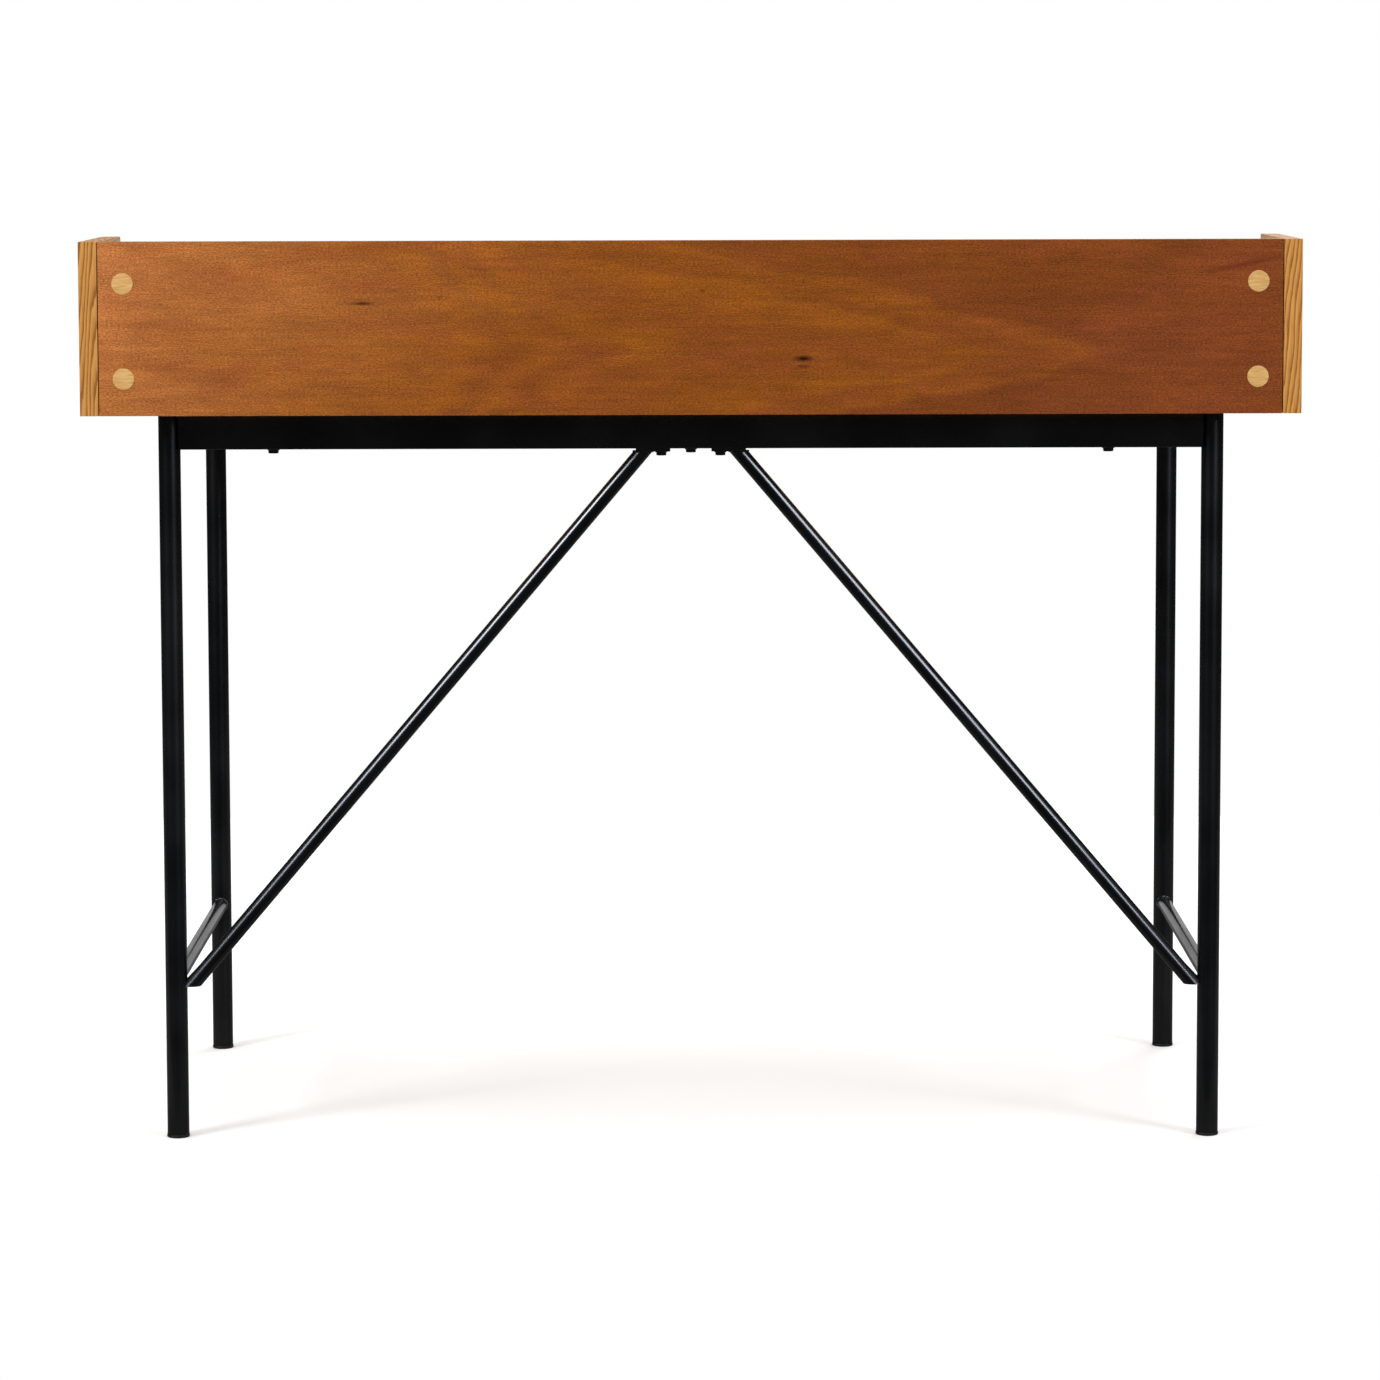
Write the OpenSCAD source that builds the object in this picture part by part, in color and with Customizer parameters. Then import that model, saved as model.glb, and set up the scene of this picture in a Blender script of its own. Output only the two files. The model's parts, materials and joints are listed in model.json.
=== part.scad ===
// Writing desk with a raised gallery and two small drawers on a round-tube steel frame.
// Millimetres, +Z up, origin on the floor at the middle of the desk.
// The sitter is on the -Y side, and "left" and "right" are the sitter's.

/* [Overall] */
// Width over the side panels
desk_w = 1200; // [1120:10:1300]
// Depth, front to back
desk_d = 600; // [580:10:700]
// Height of the steel frame, from the floor to the underside of the case
frame_h = 736; // [700:1:760]
// Height of the wooden case at the back
case_h = 171; // [165:1:190]

/* [Boards] */
// Thickness of a side panel
side_t = 18; // [16:1:20]
// Thickness of the desktop
top_t = 18; // [16:1:20]
// Thickness of the back panel
back_t = 15; // [15:1:18]
// Thickness of the gallery shelf and of its dividers
shelf_t = 15; // [15:1:18]
// Shadow gap between the back panel and each side panel
shadow_gap = 1; // [0.5:0.5:2]

/* [Gallery] */
// Depth of the gallery at its top edge
gallery_d = 195; // [190:5:230]
// Height of the rim round the gallery shelf
rim_h = 18; // [12:1:20]
// How far the sloped front edge of a side panel runs forward
slope_run = 38; // [20:1:60]
// Radius where that slope meets the low front part
slope_r = 40; // [20:5:50]
// Height of the low front part of a side panel above the desktop
lip_h = 10; // [6:1:14]
// Width of the open bay between the drawers
centre_bay_w = 400; // [340:10:440]

/* [Drawers] */
// Gap round a drawer front
drawer_gap = 2; // [1.5:0.5:3]
// Thickness of a drawer front
front_t = 15; // [14:1:18]
// Thickness of a drawer's sides and back
box_t = 10; // [10:1:12]
// Thickness of a drawer's bottom
bottom_t = 4; // [3:1:5]
// Height of a drawer's sides
box_h = 84; // [70:2:90]
// Travel of a drawer, from closed to its stop
drawer_travel = 125; // [80:5:125]
// Largest diameter of a knob
knob_d = 22; // [18:1:26]

/* [Frame] */
// Distance of a leg's axis from the end of the desk
leg_inset_x = 79; // [70:1:95]
// Distance of a leg's axis from the front or the back of the desk
leg_inset_y = 75; // [60:1:90]
// Outer diameter of a leg
leg_d = 22; // [22:1:25]
// Height of the front and rear rails
rail_h = 38; // [34:1:40]
// Thickness of every top rail, front to back or side to side
rail_t = 20; // [18:1:20]
// Height of the side rails
side_rail_h = 25; // [22:1:30]
// Outer diameter of the braces and the stretchers
rod_d = 15; // [14:1:16]
// Height of a stretcher's axis above the floor
stretcher_z = 161; // [130:1:220]
// Distance of a brace's axis from the middle of the desk, at the underside of the rail
brace_top_x = 45; // [42:1:50]
// Height of the flat cut at the lower end of a brace
brace_cut_z = 154.5; // [140:0.5:200]

/* [Fasteners] */
// Distance of the outer case bolts from the middle of the desk
case_bolt_x = 417; // [380:1:440]
// Distance of a brace tab's bolt from the middle of the desk
tab_bolt_x = 29.5; // [28:0.5:31]
// Diameter of the round caps that cover the cam locks
cap_d = 21; // [18:1:24]
// Distance of the upper cam locks of the back panel below the top edge
cam_drop_top = 41; // [38:1:50]
// Distance of the lower cam locks of the back panel below the top edge
cam_drop_low = 134.5; // [120:0.5:140]

/* [Hidden] */
$fn = 48;

LEFT = -1;
RIGHT = 1;
cut = 1;            // how far a cutting shape runs past the face that it cuts
weld_gap = 0.05;    // clearance where a cut end meets a round tube
wood_oak = "burlywood";
wood_back = "sienna";
steel_black = "dimgray";
steel_plain = "silver";

// Case
rear_y = desk_d / 2;
front_y = -desk_d / 2;
inner_x = desk_w / 2 - side_t;
case_top_z = frame_h + case_h;
desktop_z = frame_h + top_t;
back_face_y = rear_y - back_t;
shelf_top_z = case_top_z - rim_h;
shelf_z = shelf_top_z - shelf_t;
gallery_y = rear_y - gallery_d;
shelf_front_y = gallery_y + 3;
divider_front_y = shelf_front_y + 2;
low_z = desktop_z + lip_h;
low_corner_r = 8;
bay_h = shelf_z - desktop_z;
bay_w = inner_x - centre_bay_w / 2 - shelf_t;
bay_x = inner_x - bay_w / 2;
divider_x = centre_bay_w / 2 + shelf_t / 2;

// Cam fittings: a disc in a blind bore, pulled tight on a dowel screwed into the next board
cam_bore_d = 15;
cam_bore_depth = 12.5;
cam_d = 14.8;
cam_h = 12;
cam_sink = 0.4;
cam_slot = [8, 1.6, 2];
cam_from_end = 25;
cam_x = inner_x - cam_from_end;
cam_hole_d = 7.4;
dowel_bore_d = 8;
dowel_d = 7;
dowel_head_x = 1;
dowel_head_l = 2;
dowel_neck_d = 5;
dowel_collar_l = 14;
dowel_thread_d = 6;
dowel_thread_l = 11;
side_bore_d = 6.2;
side_bore_depth = 11.5;
back_cam_z = [case_top_z - cam_drop_top, case_top_z - cam_drop_low];
desktop_cam_y = [front_y + 70, 0, rear_y - 100];
shelf_cam_y = [shelf_front_y + 32, back_face_y - 30];

// Dowels and screws of the boards
peg_d = 8;
peg_clear = 0.2;
divider_peg_y = [divider_front_y + 40, back_face_y - 40];
divider_peg_in_shelf = 9;
divider_peg_in_divider = 15;
divider_screw_y = [divider_front_y + 60, back_face_y - 60];
screw_d = 4;
screw_head_d = 8;
screw_head_h = 3;
screw_l = 48;
screw_sink = 0.3;
screw_slot = [4.4, 1, 1.7];
back_peg_x = [-300, 0, 300];
back_peg_in_back = 9;
back_peg_in_desktop = 18;

// Drawer
glide_h = 2;
glide_w = 8;
drawer_front_w = bay_w - 2 * drawer_gap;
drawer_front_h = bay_h - 2 * drawer_gap;
drawer_y = shelf_front_y + 4;
drawer_box_y = drawer_y + front_t;
bumper_h = 3;
bumper_d = 10;
drawer_end_y = back_face_y - bumper_h;
box_w = drawer_front_w - 2;
box_z = desktop_z + glide_h;
box_inner_x = box_w / 2 - box_t;
bottom_z = box_z + 8;
groove_depth = 5;
bottom_in_groove = 4.5;
groove_clear = 0.2;
back_stop_bite = 4;
stop_h = 10;
drawer_back_top_z = shelf_z - stop_h + back_stop_bite;
stop_y = drawer_end_y - box_t - drawer_travel;
stop_l = 14;
stop_w = 40;
drawer_peg_d = 6;
drawer_peg_in_front = 10;
drawer_peg_in_side = 16;
drawer_peg_z = [box_z + 22, box_z + box_h - 22];
knob_z = desktop_z + bay_h / 2;
knob_l = 24;
knob_neck_d = 10;
knob_base_d = 14;
knob_base_h = 2;
knob_neck_z = [6, 12];
knob_head_z = 16;
knob_edge_r = 3;
knob_screw_d = 4;
knob_bore_d = 4.2;
knob_hole_d = 4.6;
knob_thread_l = 12;
knob_head_d = 8.5;
knob_head_h = 2.6;
knob_slot = [4.8, 1, 1.4];

// Frame
leg_x = desk_w / 2 - leg_inset_x;
leg_y = desk_d / 2 - leg_inset_y;
leg_wall = 1.5;
foot_h = 3;
foot_d = leg_d + 0.8;
foot_edge = 0.8;
plug_l = 15;
plug_d = leg_d - 2 * leg_wall - 0.2;
plug_edge = 1;
rail_wall = 1.5;
rod_wall = 1.2;
rail_z = frame_h - rail_h;
saddle_r = leg_d / 2 + weld_gap;
tab_t = 3;
tab_w = 18;
tab_in_x = 20.5;
tab_out_x = 55;
brace_foot_x = leg_x - leg_d / 2 - 4.1;
brace_slope = (rail_z - brace_cut_z) / (brace_foot_x - brace_top_x);
brace_angle = atan(brace_slope);
lug_t = 3;
lug_z = brace_cut_z + 0.5;
lug_top_z = lug_z + 27;
lug_weld_h = 10;    // height of its edge on the leg
lug_neck = [2.5, 6];   // where it narrows to the brace's width, inward of that edge and up
lug_w = 13;
lug_bolt_z = lug_z + 14;
lug_end_x = leg_x - rod_d / 2 - weld_gap;
bracket_t = 3;
bracket_l = 56;
bracket_end_x = leg_x - rail_t / 2;
bracket_z = rail_z + 4;
bracket_h = rail_h - 8;
bracket_bolt_x = [bracket_end_x - 16, bracket_end_x - 41];
bracket_bolt_z = bracket_z + bracket_h / 2;

// M6 flanged bolts, M6 inserts and rivet nuts, M5 button-head bolts
m6 = 6;
m6_hole = 6.6;
hex_af = 10;
hex_h = 3;
hex_chamfer = 0.5;
flange_d = 13;
flange_edge_d = 11;
flange_h = 1.3;
insert_d = 8;
insert_l = 12;
insert_hole_d = 8.2;
insert_hole_depth = 13;
case_bolt_l = rail_h + 11;
nut_d = 9;
nut_l = 12;
nut_hole_d = 9.2;
nut_bore_d = 6.2;
m5 = 5;
m5_hole = 5.4;
m5_head_d = 9.5;
m5_head_top_d = 6;
m5_head_h = 2.7;
m5_key_af = 3;
m5_key_depth = 1.6;
m5_nut_d = 7;
m5_nut_l = 6.5;
m5_nut_hole_d = 7.2;
m5_nut_bore_d = 5.2;

// Distance of a brace's axis from the middle of the desk at height z
function brace_x(z) = brace_top_x + (rail_z - z) / brace_slope;

// Points of an arc about c, from angle a0 to a1, in n steps
function arc(c, r, a0, a1, n) =
    [for (i = [0:n]) let (a = a0 + (a1 - a0) * i / n) [c.x + r * cos(a), c.y + r * sin(a)]];

// ---------- helpers ----------

// Turns a shape made for the right-hand side into the left-hand one where side is LEFT
module on_side(side) {
    if (side == LEFT) mirror([1, 0, 0]) children();
    else children();
}

// A box given by its lowest and highest corners
module block(lo, hi) {
    translate(lo) cube(hi - lo);
}

// A cylinder from point p along +X, +Y or +Z
module rod_x(p, l, d) { translate(p) rotate([0, 90, 0]) cylinder(h = l, d = d); }
module rod_y(p, l, d) { translate(p) rotate([-90, 0, 0]) cylinder(h = l, d = d); }
module rod_z(p, l, d) { translate(p) cylinder(h = l, d = d); }

// A cross recess of size [length, width, depth], cut into what stands on z = 0 along +Z
module cross_slot(size) {
    for (turn = [0, 90]) rotate([0, 0, turn])
        block([-size.x / 2, -size.y / 2, -cut], [size.x / 2, size.y / 2, size.z]);
}

// Places children at each back-panel cam, local +Z pointing into the board
module at_back_cams() {
    for (side = [LEFT, RIGHT]) for (z = back_cam_z)
        on_side(side) translate([cam_x, rear_y, z]) rotate([90, 0, 0]) children();
}

// Places children at each desktop cam, under the desktop
module at_desktop_cams() {
    for (side = [LEFT, RIGHT]) for (y = desktop_cam_y)
        on_side(side) translate([cam_x, y, frame_h]) children();
}

// Places children at each shelf cam, under the gallery shelf
module at_shelf_cams() {
    for (side = [LEFT, RIGHT]) for (y = shelf_cam_y)
        on_side(side) translate([cam_x, y, shelf_z]) children();
}

// Bores that one cam fitting needs in its own board of thickness t
module cam_bores(t) {
    translate([0, 0, -cut]) cylinder(h = cam_bore_depth + cut, d = cam_bore_d);
    rod_x([0, 0, t / 2], cam_from_end + cut, dowel_bore_d);
}

// The disc of a cam fitting, with its driver slot and the mouth for the dowel's head
module cam_disc(t) {
    difference() {
        translate([0, 0, cam_sink]) cylinder(h = cam_h - cam_sink, d = cam_d);
        translate([0, 0, cam_sink]) cross_slot(cam_slot);
        rod_x([0, 0, t / 2], cam_d, cam_hole_d);
    }
}

// The dowel of a cam fitting: head, neck, collar and thread
module cam_dowel(t) {
    rod_x([dowel_head_x, 0, t / 2], dowel_head_l, dowel_d);
    rod_x([dowel_head_x, 0, t / 2], cam_from_end - dowel_head_x, dowel_neck_d);
    rod_x([cam_from_end - dowel_collar_l, 0, t / 2], dowel_collar_l, dowel_d);
    rod_x([cam_from_end - dowel_collar_l, 0, t / 2], dowel_collar_l + dowel_thread_l, dowel_thread_d);
}

// The hole for one dowel's thread in the side panel
module side_bore(t) {
    rod_x([cam_from_end - cut, 0, t / 2], side_bore_depth + cut, side_bore_d);
}

// ---------- wooden case ----------

// Outline of a side panel in Y and Z: high at the gallery, a slope, then a low front part
module side_outline() {
    slope_a = atan2(case_top_z - low_z, slope_run);
    corner = [gallery_y - slope_run, low_z];
    tangent = slope_r / tan((180 - slope_a) / 2);
    fillet = [corner.x - tangent, low_z + slope_r];
    polygon(concat(
        [[rear_y, frame_h], [rear_y, case_top_z], [gallery_y, case_top_z]],
        arc(fillet, slope_r, slope_a - 90, -90, 14),
        arc([front_y + low_corner_r, low_z - low_corner_r], low_corner_r, 90, 180, 8),
        [[front_y, frame_h]]));
}

module side_panel(side) {
    color(wood_oak) difference() {
        on_side(side) translate([inner_x, 0, 0]) rotate([90, 0, 90])
            linear_extrude(side_t) side_outline();
        at_back_cams() side_bore(back_t);
        at_desktop_cams() side_bore(top_t);
        at_shelf_cams() side_bore(shelf_t);
    }
}

module back_panel() {
    end_x = inner_x - shadow_gap;
    color(wood_back) difference() {
        block([-end_x, back_face_y, frame_h], [end_x, rear_y, case_top_z]);
        at_back_cams() cam_bores(back_t);
        for (x = back_peg_x)
            rod_y([x, back_face_y - cut, frame_h + top_t / 2],
                back_peg_in_back + peg_clear + cut, peg_d + peg_clear);
    }
}

module desktop() {
    color(wood_oak) difference() {
        block([-inner_x, front_y, frame_h], [inner_x, back_face_y, desktop_z]);
        at_desktop_cams() cam_bores(top_t);
        for (x = back_peg_x)
            rod_y([x, back_face_y - back_peg_in_desktop - peg_clear, frame_h + top_t / 2],
                back_peg_in_desktop + peg_clear + cut, peg_d + peg_clear);
        for (x = [-case_bolt_x, 0, case_bolt_x]) for (y = [-leg_y, leg_y])
            rod_z([x, y, frame_h - cut], insert_hole_depth + cut, insert_hole_d);
        at_divider_screws() divider_screw_hole();
    }
}

module gallery_shelf() {
    color(wood_oak) difference() {
        block([-inner_x, shelf_front_y, shelf_z], [inner_x, back_face_y, shelf_top_z]);
        at_shelf_cams() cam_bores(shelf_t);
        at_divider_pegs()
            rod_z([0, 0, -cut], divider_peg_in_shelf + peg_clear + cut, peg_d + peg_clear);
    }
}

module divider(side) {
    color(wood_oak) difference() {
        on_side(side) block([divider_x - shelf_t / 2, divider_front_y, desktop_z],
            [divider_x + shelf_t / 2, back_face_y, shelf_z]);
        at_divider_pegs() rod_z([0, 0, -divider_peg_in_divider - peg_clear],
            divider_peg_in_divider + peg_clear + cut, peg_d + peg_clear);
        at_divider_screws() divider_screw_hole();
    }
}

module at_divider_pegs() {
    for (side = [LEFT, RIGHT]) for (y = divider_peg_y)
        translate([side * divider_x, y, shelf_z]) children();
}

module at_divider_screws() {
    for (side = [LEFT, RIGHT]) for (y = divider_screw_y)
        translate([side * divider_x, y, frame_h]) children();
}

module divider_screw_hole() {
    rod_z([0, 0, -cut], screw_l + cut + 1, screw_d + peg_clear);
    rod_z([0, 0, -cut], screw_head_h + screw_sink + cut, screw_head_d + 2 * peg_clear);
}

module divider_screws() {
    color(steel_plain) at_divider_screws() difference() {
        union() {
            translate([0, 0, screw_sink]) cylinder(h = screw_head_h, d1 = screw_head_d, d2 = screw_d);
            rod_z([0, 0, screw_sink], screw_l, screw_d);
        }
        translate([0, 0, screw_sink]) cross_slot(screw_slot);
    }
}

module divider_dowels() {
    color(wood_oak) at_divider_pegs()
        rod_z([0, 0, -divider_peg_in_divider], divider_peg_in_divider + divider_peg_in_shelf, peg_d);
}

module back_panel_dowels() {
    color(wood_oak) for (x = back_peg_x)
        rod_y([x, back_face_y - back_peg_in_desktop, frame_h + top_t / 2],
            back_peg_in_desktop + back_peg_in_back, peg_d);
}

module cam_locks() {
    color(steel_plain) {
        at_back_cams() cam_disc(back_t);
        at_desktop_cams() cam_disc(top_t);
        at_shelf_cams() cam_disc(shelf_t);
    }
}

module cam_dowels() {
    color(steel_plain) {
        at_back_cams() cam_dowel(back_t);
        at_desktop_cams() cam_dowel(top_t);
        at_shelf_cams() cam_dowel(shelf_t);
    }
}

// Thin round caps stuck over the cams of the back panel
module cam_cover_caps() {
    color("wheat") at_back_cams() translate([0, 0, -0.4]) cylinder(h = 0.4, d = cap_d);
}

// ---------- drawers ----------

// Nylon strips on the desktop, under each drawer side
module drawer_glides() {
    color("white") for (side = [LEFT, RIGHT]) for (edge = [-1, 1])
        translate([side * bay_x + edge * (box_w / 2 - box_t / 2), 0, 0])
            block([-glide_w / 2, drawer_box_y, desktop_z], [glide_w / 2, back_face_y - 8, box_z]);
}

// Blocks under the shelf that catch the drawer's tall back when it is pulled out
module drawer_stops() {
    color(wood_oak) for (side = [LEFT, RIGHT]) translate([side * bay_x, 0, 0])
        block([-stop_w / 2, stop_y - stop_l, shelf_z - stop_h], [stop_w / 2, stop_y, shelf_z]);
}

// Rubber pads on the back panel that the closed drawers rest against
module drawer_bumpers() {
    color("black") for (side = [LEFT, RIGHT]) for (edge = [-1, 1])
        rod_y([side * bay_x + edge * (box_inner_x - 20), back_face_y - bumper_h, box_z + box_h / 2],
            bumper_h, bumper_d);
}

// Where the front and the sides of a drawer are pegged together; edge is -1 or +1
module at_drawer_pegs(side, edges = [-1, 1]) {
    for (edge = edges) for (z = drawer_peg_z)
        translate([side * bay_x + edge * (box_w / 2 - box_t / 2), drawer_box_y, z]) children();
}

module drawer_front(side) {
    x = side * bay_x;
    color(wood_oak) difference() {
        block([x - drawer_front_w / 2, drawer_y, desktop_z + drawer_gap],
            [x + drawer_front_w / 2, drawer_box_y, desktop_z + drawer_gap + drawer_front_h]);
        rod_y([x, drawer_y - cut, knob_z], front_t + 2 * cut, knob_hole_d);
        at_drawer_pegs(side) rod_y([0, -drawer_peg_in_front - peg_clear, 0],
            drawer_peg_in_front + peg_clear + cut, drawer_peg_d + peg_clear);
        block([x - box_inner_x - bottom_in_groove, drawer_box_y - groove_depth, bottom_z - groove_clear / 2],
            [x + box_inner_x + bottom_in_groove, drawer_box_y + cut, bottom_z + bottom_t + groove_clear / 2]);
    }
}

// A drawer's side: edge is -1 for its left one and +1 for its right one
module drawer_side(side, edge) {
    x = side * bay_x + edge * (box_w / 2 - box_t / 2);
    groove_x = x - edge * box_t / 2;
    color("tan") difference() {
        block([x - box_t / 2, drawer_box_y, box_z], [x + box_t / 2, drawer_end_y, box_z + box_h]);
        block([groove_x - groove_depth, drawer_box_y - cut, bottom_z - groove_clear / 2],
            [groove_x + groove_depth, drawer_end_y - box_t + groove_depth,
            bottom_z + bottom_t + groove_clear / 2]);
        at_drawer_pegs(side) rod_y([0, -cut, 0],
            drawer_peg_in_side + peg_clear + cut, drawer_peg_d + peg_clear);
    }
}

module drawer_back(side) {
    x = side * bay_x;
    color("tan") difference() {
        block([x - box_inner_x, drawer_end_y - box_t, box_z],
            [x + box_inner_x, drawer_end_y, drawer_back_top_z]);
        block([x - box_inner_x - cut, drawer_end_y - box_t - cut, bottom_z - groove_clear / 2],
            [x + box_inner_x + cut, drawer_end_y - box_t + groove_depth,
            bottom_z + bottom_t + groove_clear / 2]);
    }
}

module drawer_bottom(side) {
    x = side * bay_x;
    half_w = box_inner_x + bottom_in_groove - groove_clear;
    color("tan") block([x - half_w, drawer_box_y - bottom_in_groove, bottom_z],
        [x + half_w, drawer_end_y - box_t + bottom_in_groove, bottom_z + bottom_t]);
}

module drawer_dowels(side) {
    color(wood_oak) at_drawer_pegs(side)
        rod_y([0, -drawer_peg_in_front, 0], drawer_peg_in_front + drawer_peg_in_side, drawer_peg_d);
}

// A turned knob: base, waist and a flat rounded head, bored for its screw
module drawer_knob(side) {
    head_r = knob_d / 2;
    color(steel_black) translate([side * bay_x, drawer_y, knob_z]) rotate([90, 0, 0])
        rotate_extrude() difference() {
            polygon(concat(
                [[0, 0], [knob_base_d / 2, 0], [knob_base_d / 2, knob_base_h],
                [knob_neck_d / 2, knob_neck_z[0]], [knob_neck_d / 2, knob_neck_z[1]],
                [head_r, knob_head_z]],
                arc([head_r - knob_edge_r, knob_l - knob_edge_r], knob_edge_r, 0, 90, 8),
                [[0, knob_l]]));
            translate([0, -cut]) square([knob_bore_d / 2, knob_thread_l + cut]);
        }
}

module drawer_knob_screw(side) {
    color(steel_plain) translate([side * bay_x, drawer_box_y, knob_z]) rotate([90, 0, 0])
        difference() {
            union() {
                translate([0, 0, -knob_head_h]) cylinder(h = knob_head_h, d = knob_head_d);
                translate([0, 0, -knob_head_h])
                    cylinder(h = knob_head_h + front_t + knob_thread_l - 1, d = knob_screw_d);
            }
            translate([0, 0, -knob_head_h]) cross_slot(knob_slot);
        }
}

// ---------- steel frame ----------

// The outside of the four legs, for cutting the ends of what meets them
module leg_cutters() {
    for (x = [-leg_x, leg_x]) for (y = [-leg_y, leg_y])
        rod_z([x, y, 0], frame_h + cut, 2 * saddle_r);
}

module leg(x, y) {
    color(steel_black) translate([x, y, foot_h]) difference() {
        cylinder(h = frame_h - foot_h, d = leg_d);
        translate([0, 0, -cut]) cylinder(h = frame_h + 2 * cut, d = leg_d - 2 * leg_wall);
    }
}

// A plastic foot: a chamfered disc with a plug that fills the end of the tube
module foot(x, y) {
    color("black") translate([x, y, 0]) rotate_extrude() polygon([
        [0, 0], [foot_d / 2 - foot_edge, 0], [foot_d / 2, foot_edge], [foot_d / 2, foot_h],
        [plug_d / 2, foot_h], [plug_d / 2, foot_h + plug_l - plug_edge],
        [plug_d / 2 - plug_edge, foot_h + plug_l],
        [0, foot_h + plug_l]]);
}

module stretcher(side) {
    color(steel_black) difference() {
        rod_y([side * leg_x, -leg_y, stretcher_z], 2 * leg_y, rod_d);
        rod_y([side * leg_x, -leg_y - cut, stretcher_z], 2 * leg_y + 2 * cut, rod_d - 2 * rod_wall);
        leg_cutters();
    }
}

module side_rail(side) {
    x = side * leg_x;
    z = frame_h - side_rail_h;
    color(steel_black) difference() {
        block([x - rail_t / 2, -leg_y, z], [x + rail_t / 2, leg_y, frame_h]);
        block([x - rail_t / 2 + rail_wall, -leg_y - cut, z + rail_wall],
            [x + rail_t / 2 - rail_wall, leg_y + cut, frame_h - rail_wall]);
        leg_cutters();
    }
}

// Front rail where face is -1, rear rail where it is +1
module long_rail(face) {
    y = face * leg_y;
    color(steel_black) difference() {
        block([-leg_x, y - rail_t / 2, rail_z], [leg_x, y + rail_t / 2, frame_h]);
        block([-leg_x - cut, y - rail_t / 2 + rail_wall, rail_z + rail_wall],
            [leg_x + cut, y + rail_t / 2 - rail_wall, frame_h - rail_wall]);
        leg_cutters();
        for (side = [LEFT, RIGHT]) on_side(side)
            block([bracket_end_x, y - rail_t, rail_z - cut], [leg_x + cut, y + rail_t, frame_h + cut]);
        for (x = [-case_bolt_x, 0, case_bolt_x])
            rod_z([x, y, rail_z - cut], rail_h + 2 * cut, m6_hole);
        for (side = [LEFT, RIGHT]) for (x = bracket_bolt_x)
            rod_y([side * x, y - face * rail_t / 2 - rail_wall - cut, bracket_bolt_z],
                2 * rail_wall + 2 * cut, nut_hole_d);
        if (face == 1) for (side = [LEFT, RIGHT])
            rod_z([side * tab_bolt_x, y, rail_z - cut], rail_wall + 2 * cut, nut_hole_d);
    }
}

// The tube of a brace before its ends are cut
module brace_bar(d) {
    lower = 30;
    upper = 20;
    length = (rail_z - brace_cut_z) / sin(brace_angle) + lower + upper;
    translate([brace_x(brace_cut_z), leg_y, brace_cut_z]) rotate([0, brace_angle - 90, 0])
        translate([0, 0, -lower]) cylinder(h = length, d = d);
}

module brace(side) {
    color(steel_black) on_side(side) difference() {
        brace_bar(rod_d);
        brace_bar(rod_d - 2 * rod_wall);
        leg_cutters();
        block([0, 0, 0], [desk_w / 2, rear_y, brace_cut_z]);
        block([-rail_h, 0, rail_z - tab_t], [desk_w / 2, rear_y, frame_h]);
        rod_y([brace_x(lug_bolt_z), leg_y - rod_d, lug_bolt_z], rod_d, m5_nut_hole_d);
    }
}

// The plate on top of a brace, bolted up into the rear rail
module brace_tab(side) {
    color(steel_black) on_side(side) difference() {
        block([tab_in_x, leg_y - tab_w / 2, rail_z - tab_t], [tab_out_x, leg_y + tab_w / 2, rail_z]);
        rod_z([tab_bolt_x, leg_y, rail_z - tab_t - cut], tab_t + 2 * cut, m6_hole);
    }
}

// The plate welded to a rear leg that the foot of the brace is bolted to
module brace_lug(side) {
    half = lug_w / 2 / sin(brace_angle);
    plate_y = leg_y - rod_d / 2;
    color(steel_black) on_side(side) difference() {
        translate([0, plate_y, 0]) rotate([90, 0, 0]) linear_extrude(lug_t) polygon([
            [brace_x(lug_z) - half, lug_z], [lug_end_x, lug_z], [lug_end_x, lug_z + lug_weld_h],
            [lug_end_x - lug_neck[0], lug_z + lug_neck[1]],
            [brace_x(lug_top_z) + half, lug_top_z], [brace_x(lug_top_z) - half, lug_top_z]]);
        leg_cutters();
        rod_y([brace_x(lug_bolt_z), plate_y - lug_t - cut, lug_bolt_z], lug_t + 2 * cut, m5_hole);
    }
}

// Places children at each bracket, as if it were the one at the right end of the rear rail
module at_brackets() {
    for (side = [LEFT, RIGHT]) for (face = [-1, 1])
        on_side(side) mirror([0, face == 1 ? 0 : 1, 0]) children();
}

// Plates welded to the side rails, behind the ends of the front and rear rails
module rail_brackets() {
    y = leg_y - rail_t / 2;
    color(steel_black) at_brackets() difference() {
        block([bracket_end_x - bracket_l, y - bracket_t, bracket_z],
            [bracket_end_x, y, bracket_z + bracket_h]);
        for (x = bracket_bolt_x)
            rod_y([x, y - bracket_t - cut, bracket_bolt_z], bracket_t + 2 * cut, m6_hole);
    }
}

// A flanged hexagon bolt with its head below z = 0 and its shank along +Z
module flange_bolt(l) {
    translate([0, 0, -flange_h]) cylinder(h = flange_h, d1 = flange_edge_d, d2 = flange_d);
    translate([0, 0, -flange_h - hex_h]) intersection() {
        rotate([0, 0, 30]) cylinder(h = flange_h + hex_h, d = hex_af / cos(30), $fn = 6);
        cylinder(h = flange_h + hex_h, d1 = hex_af - 2 * hex_chamfer,
            d2 = hex_af - 2 * hex_chamfer + 4 * (flange_h + hex_h));
    }
    translate([0, 0, -flange_h]) cylinder(h = flange_h + l, d = m6);
}

module bracket_bolts() {
    y = leg_y - rail_t / 2 - bracket_t;
    color(steel_black) at_brackets() for (x = bracket_bolt_x)
        translate([x, y, bracket_bolt_z]) rotate([-90, 0, 0]) flange_bolt(bracket_t + nut_l - 1);
}

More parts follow.
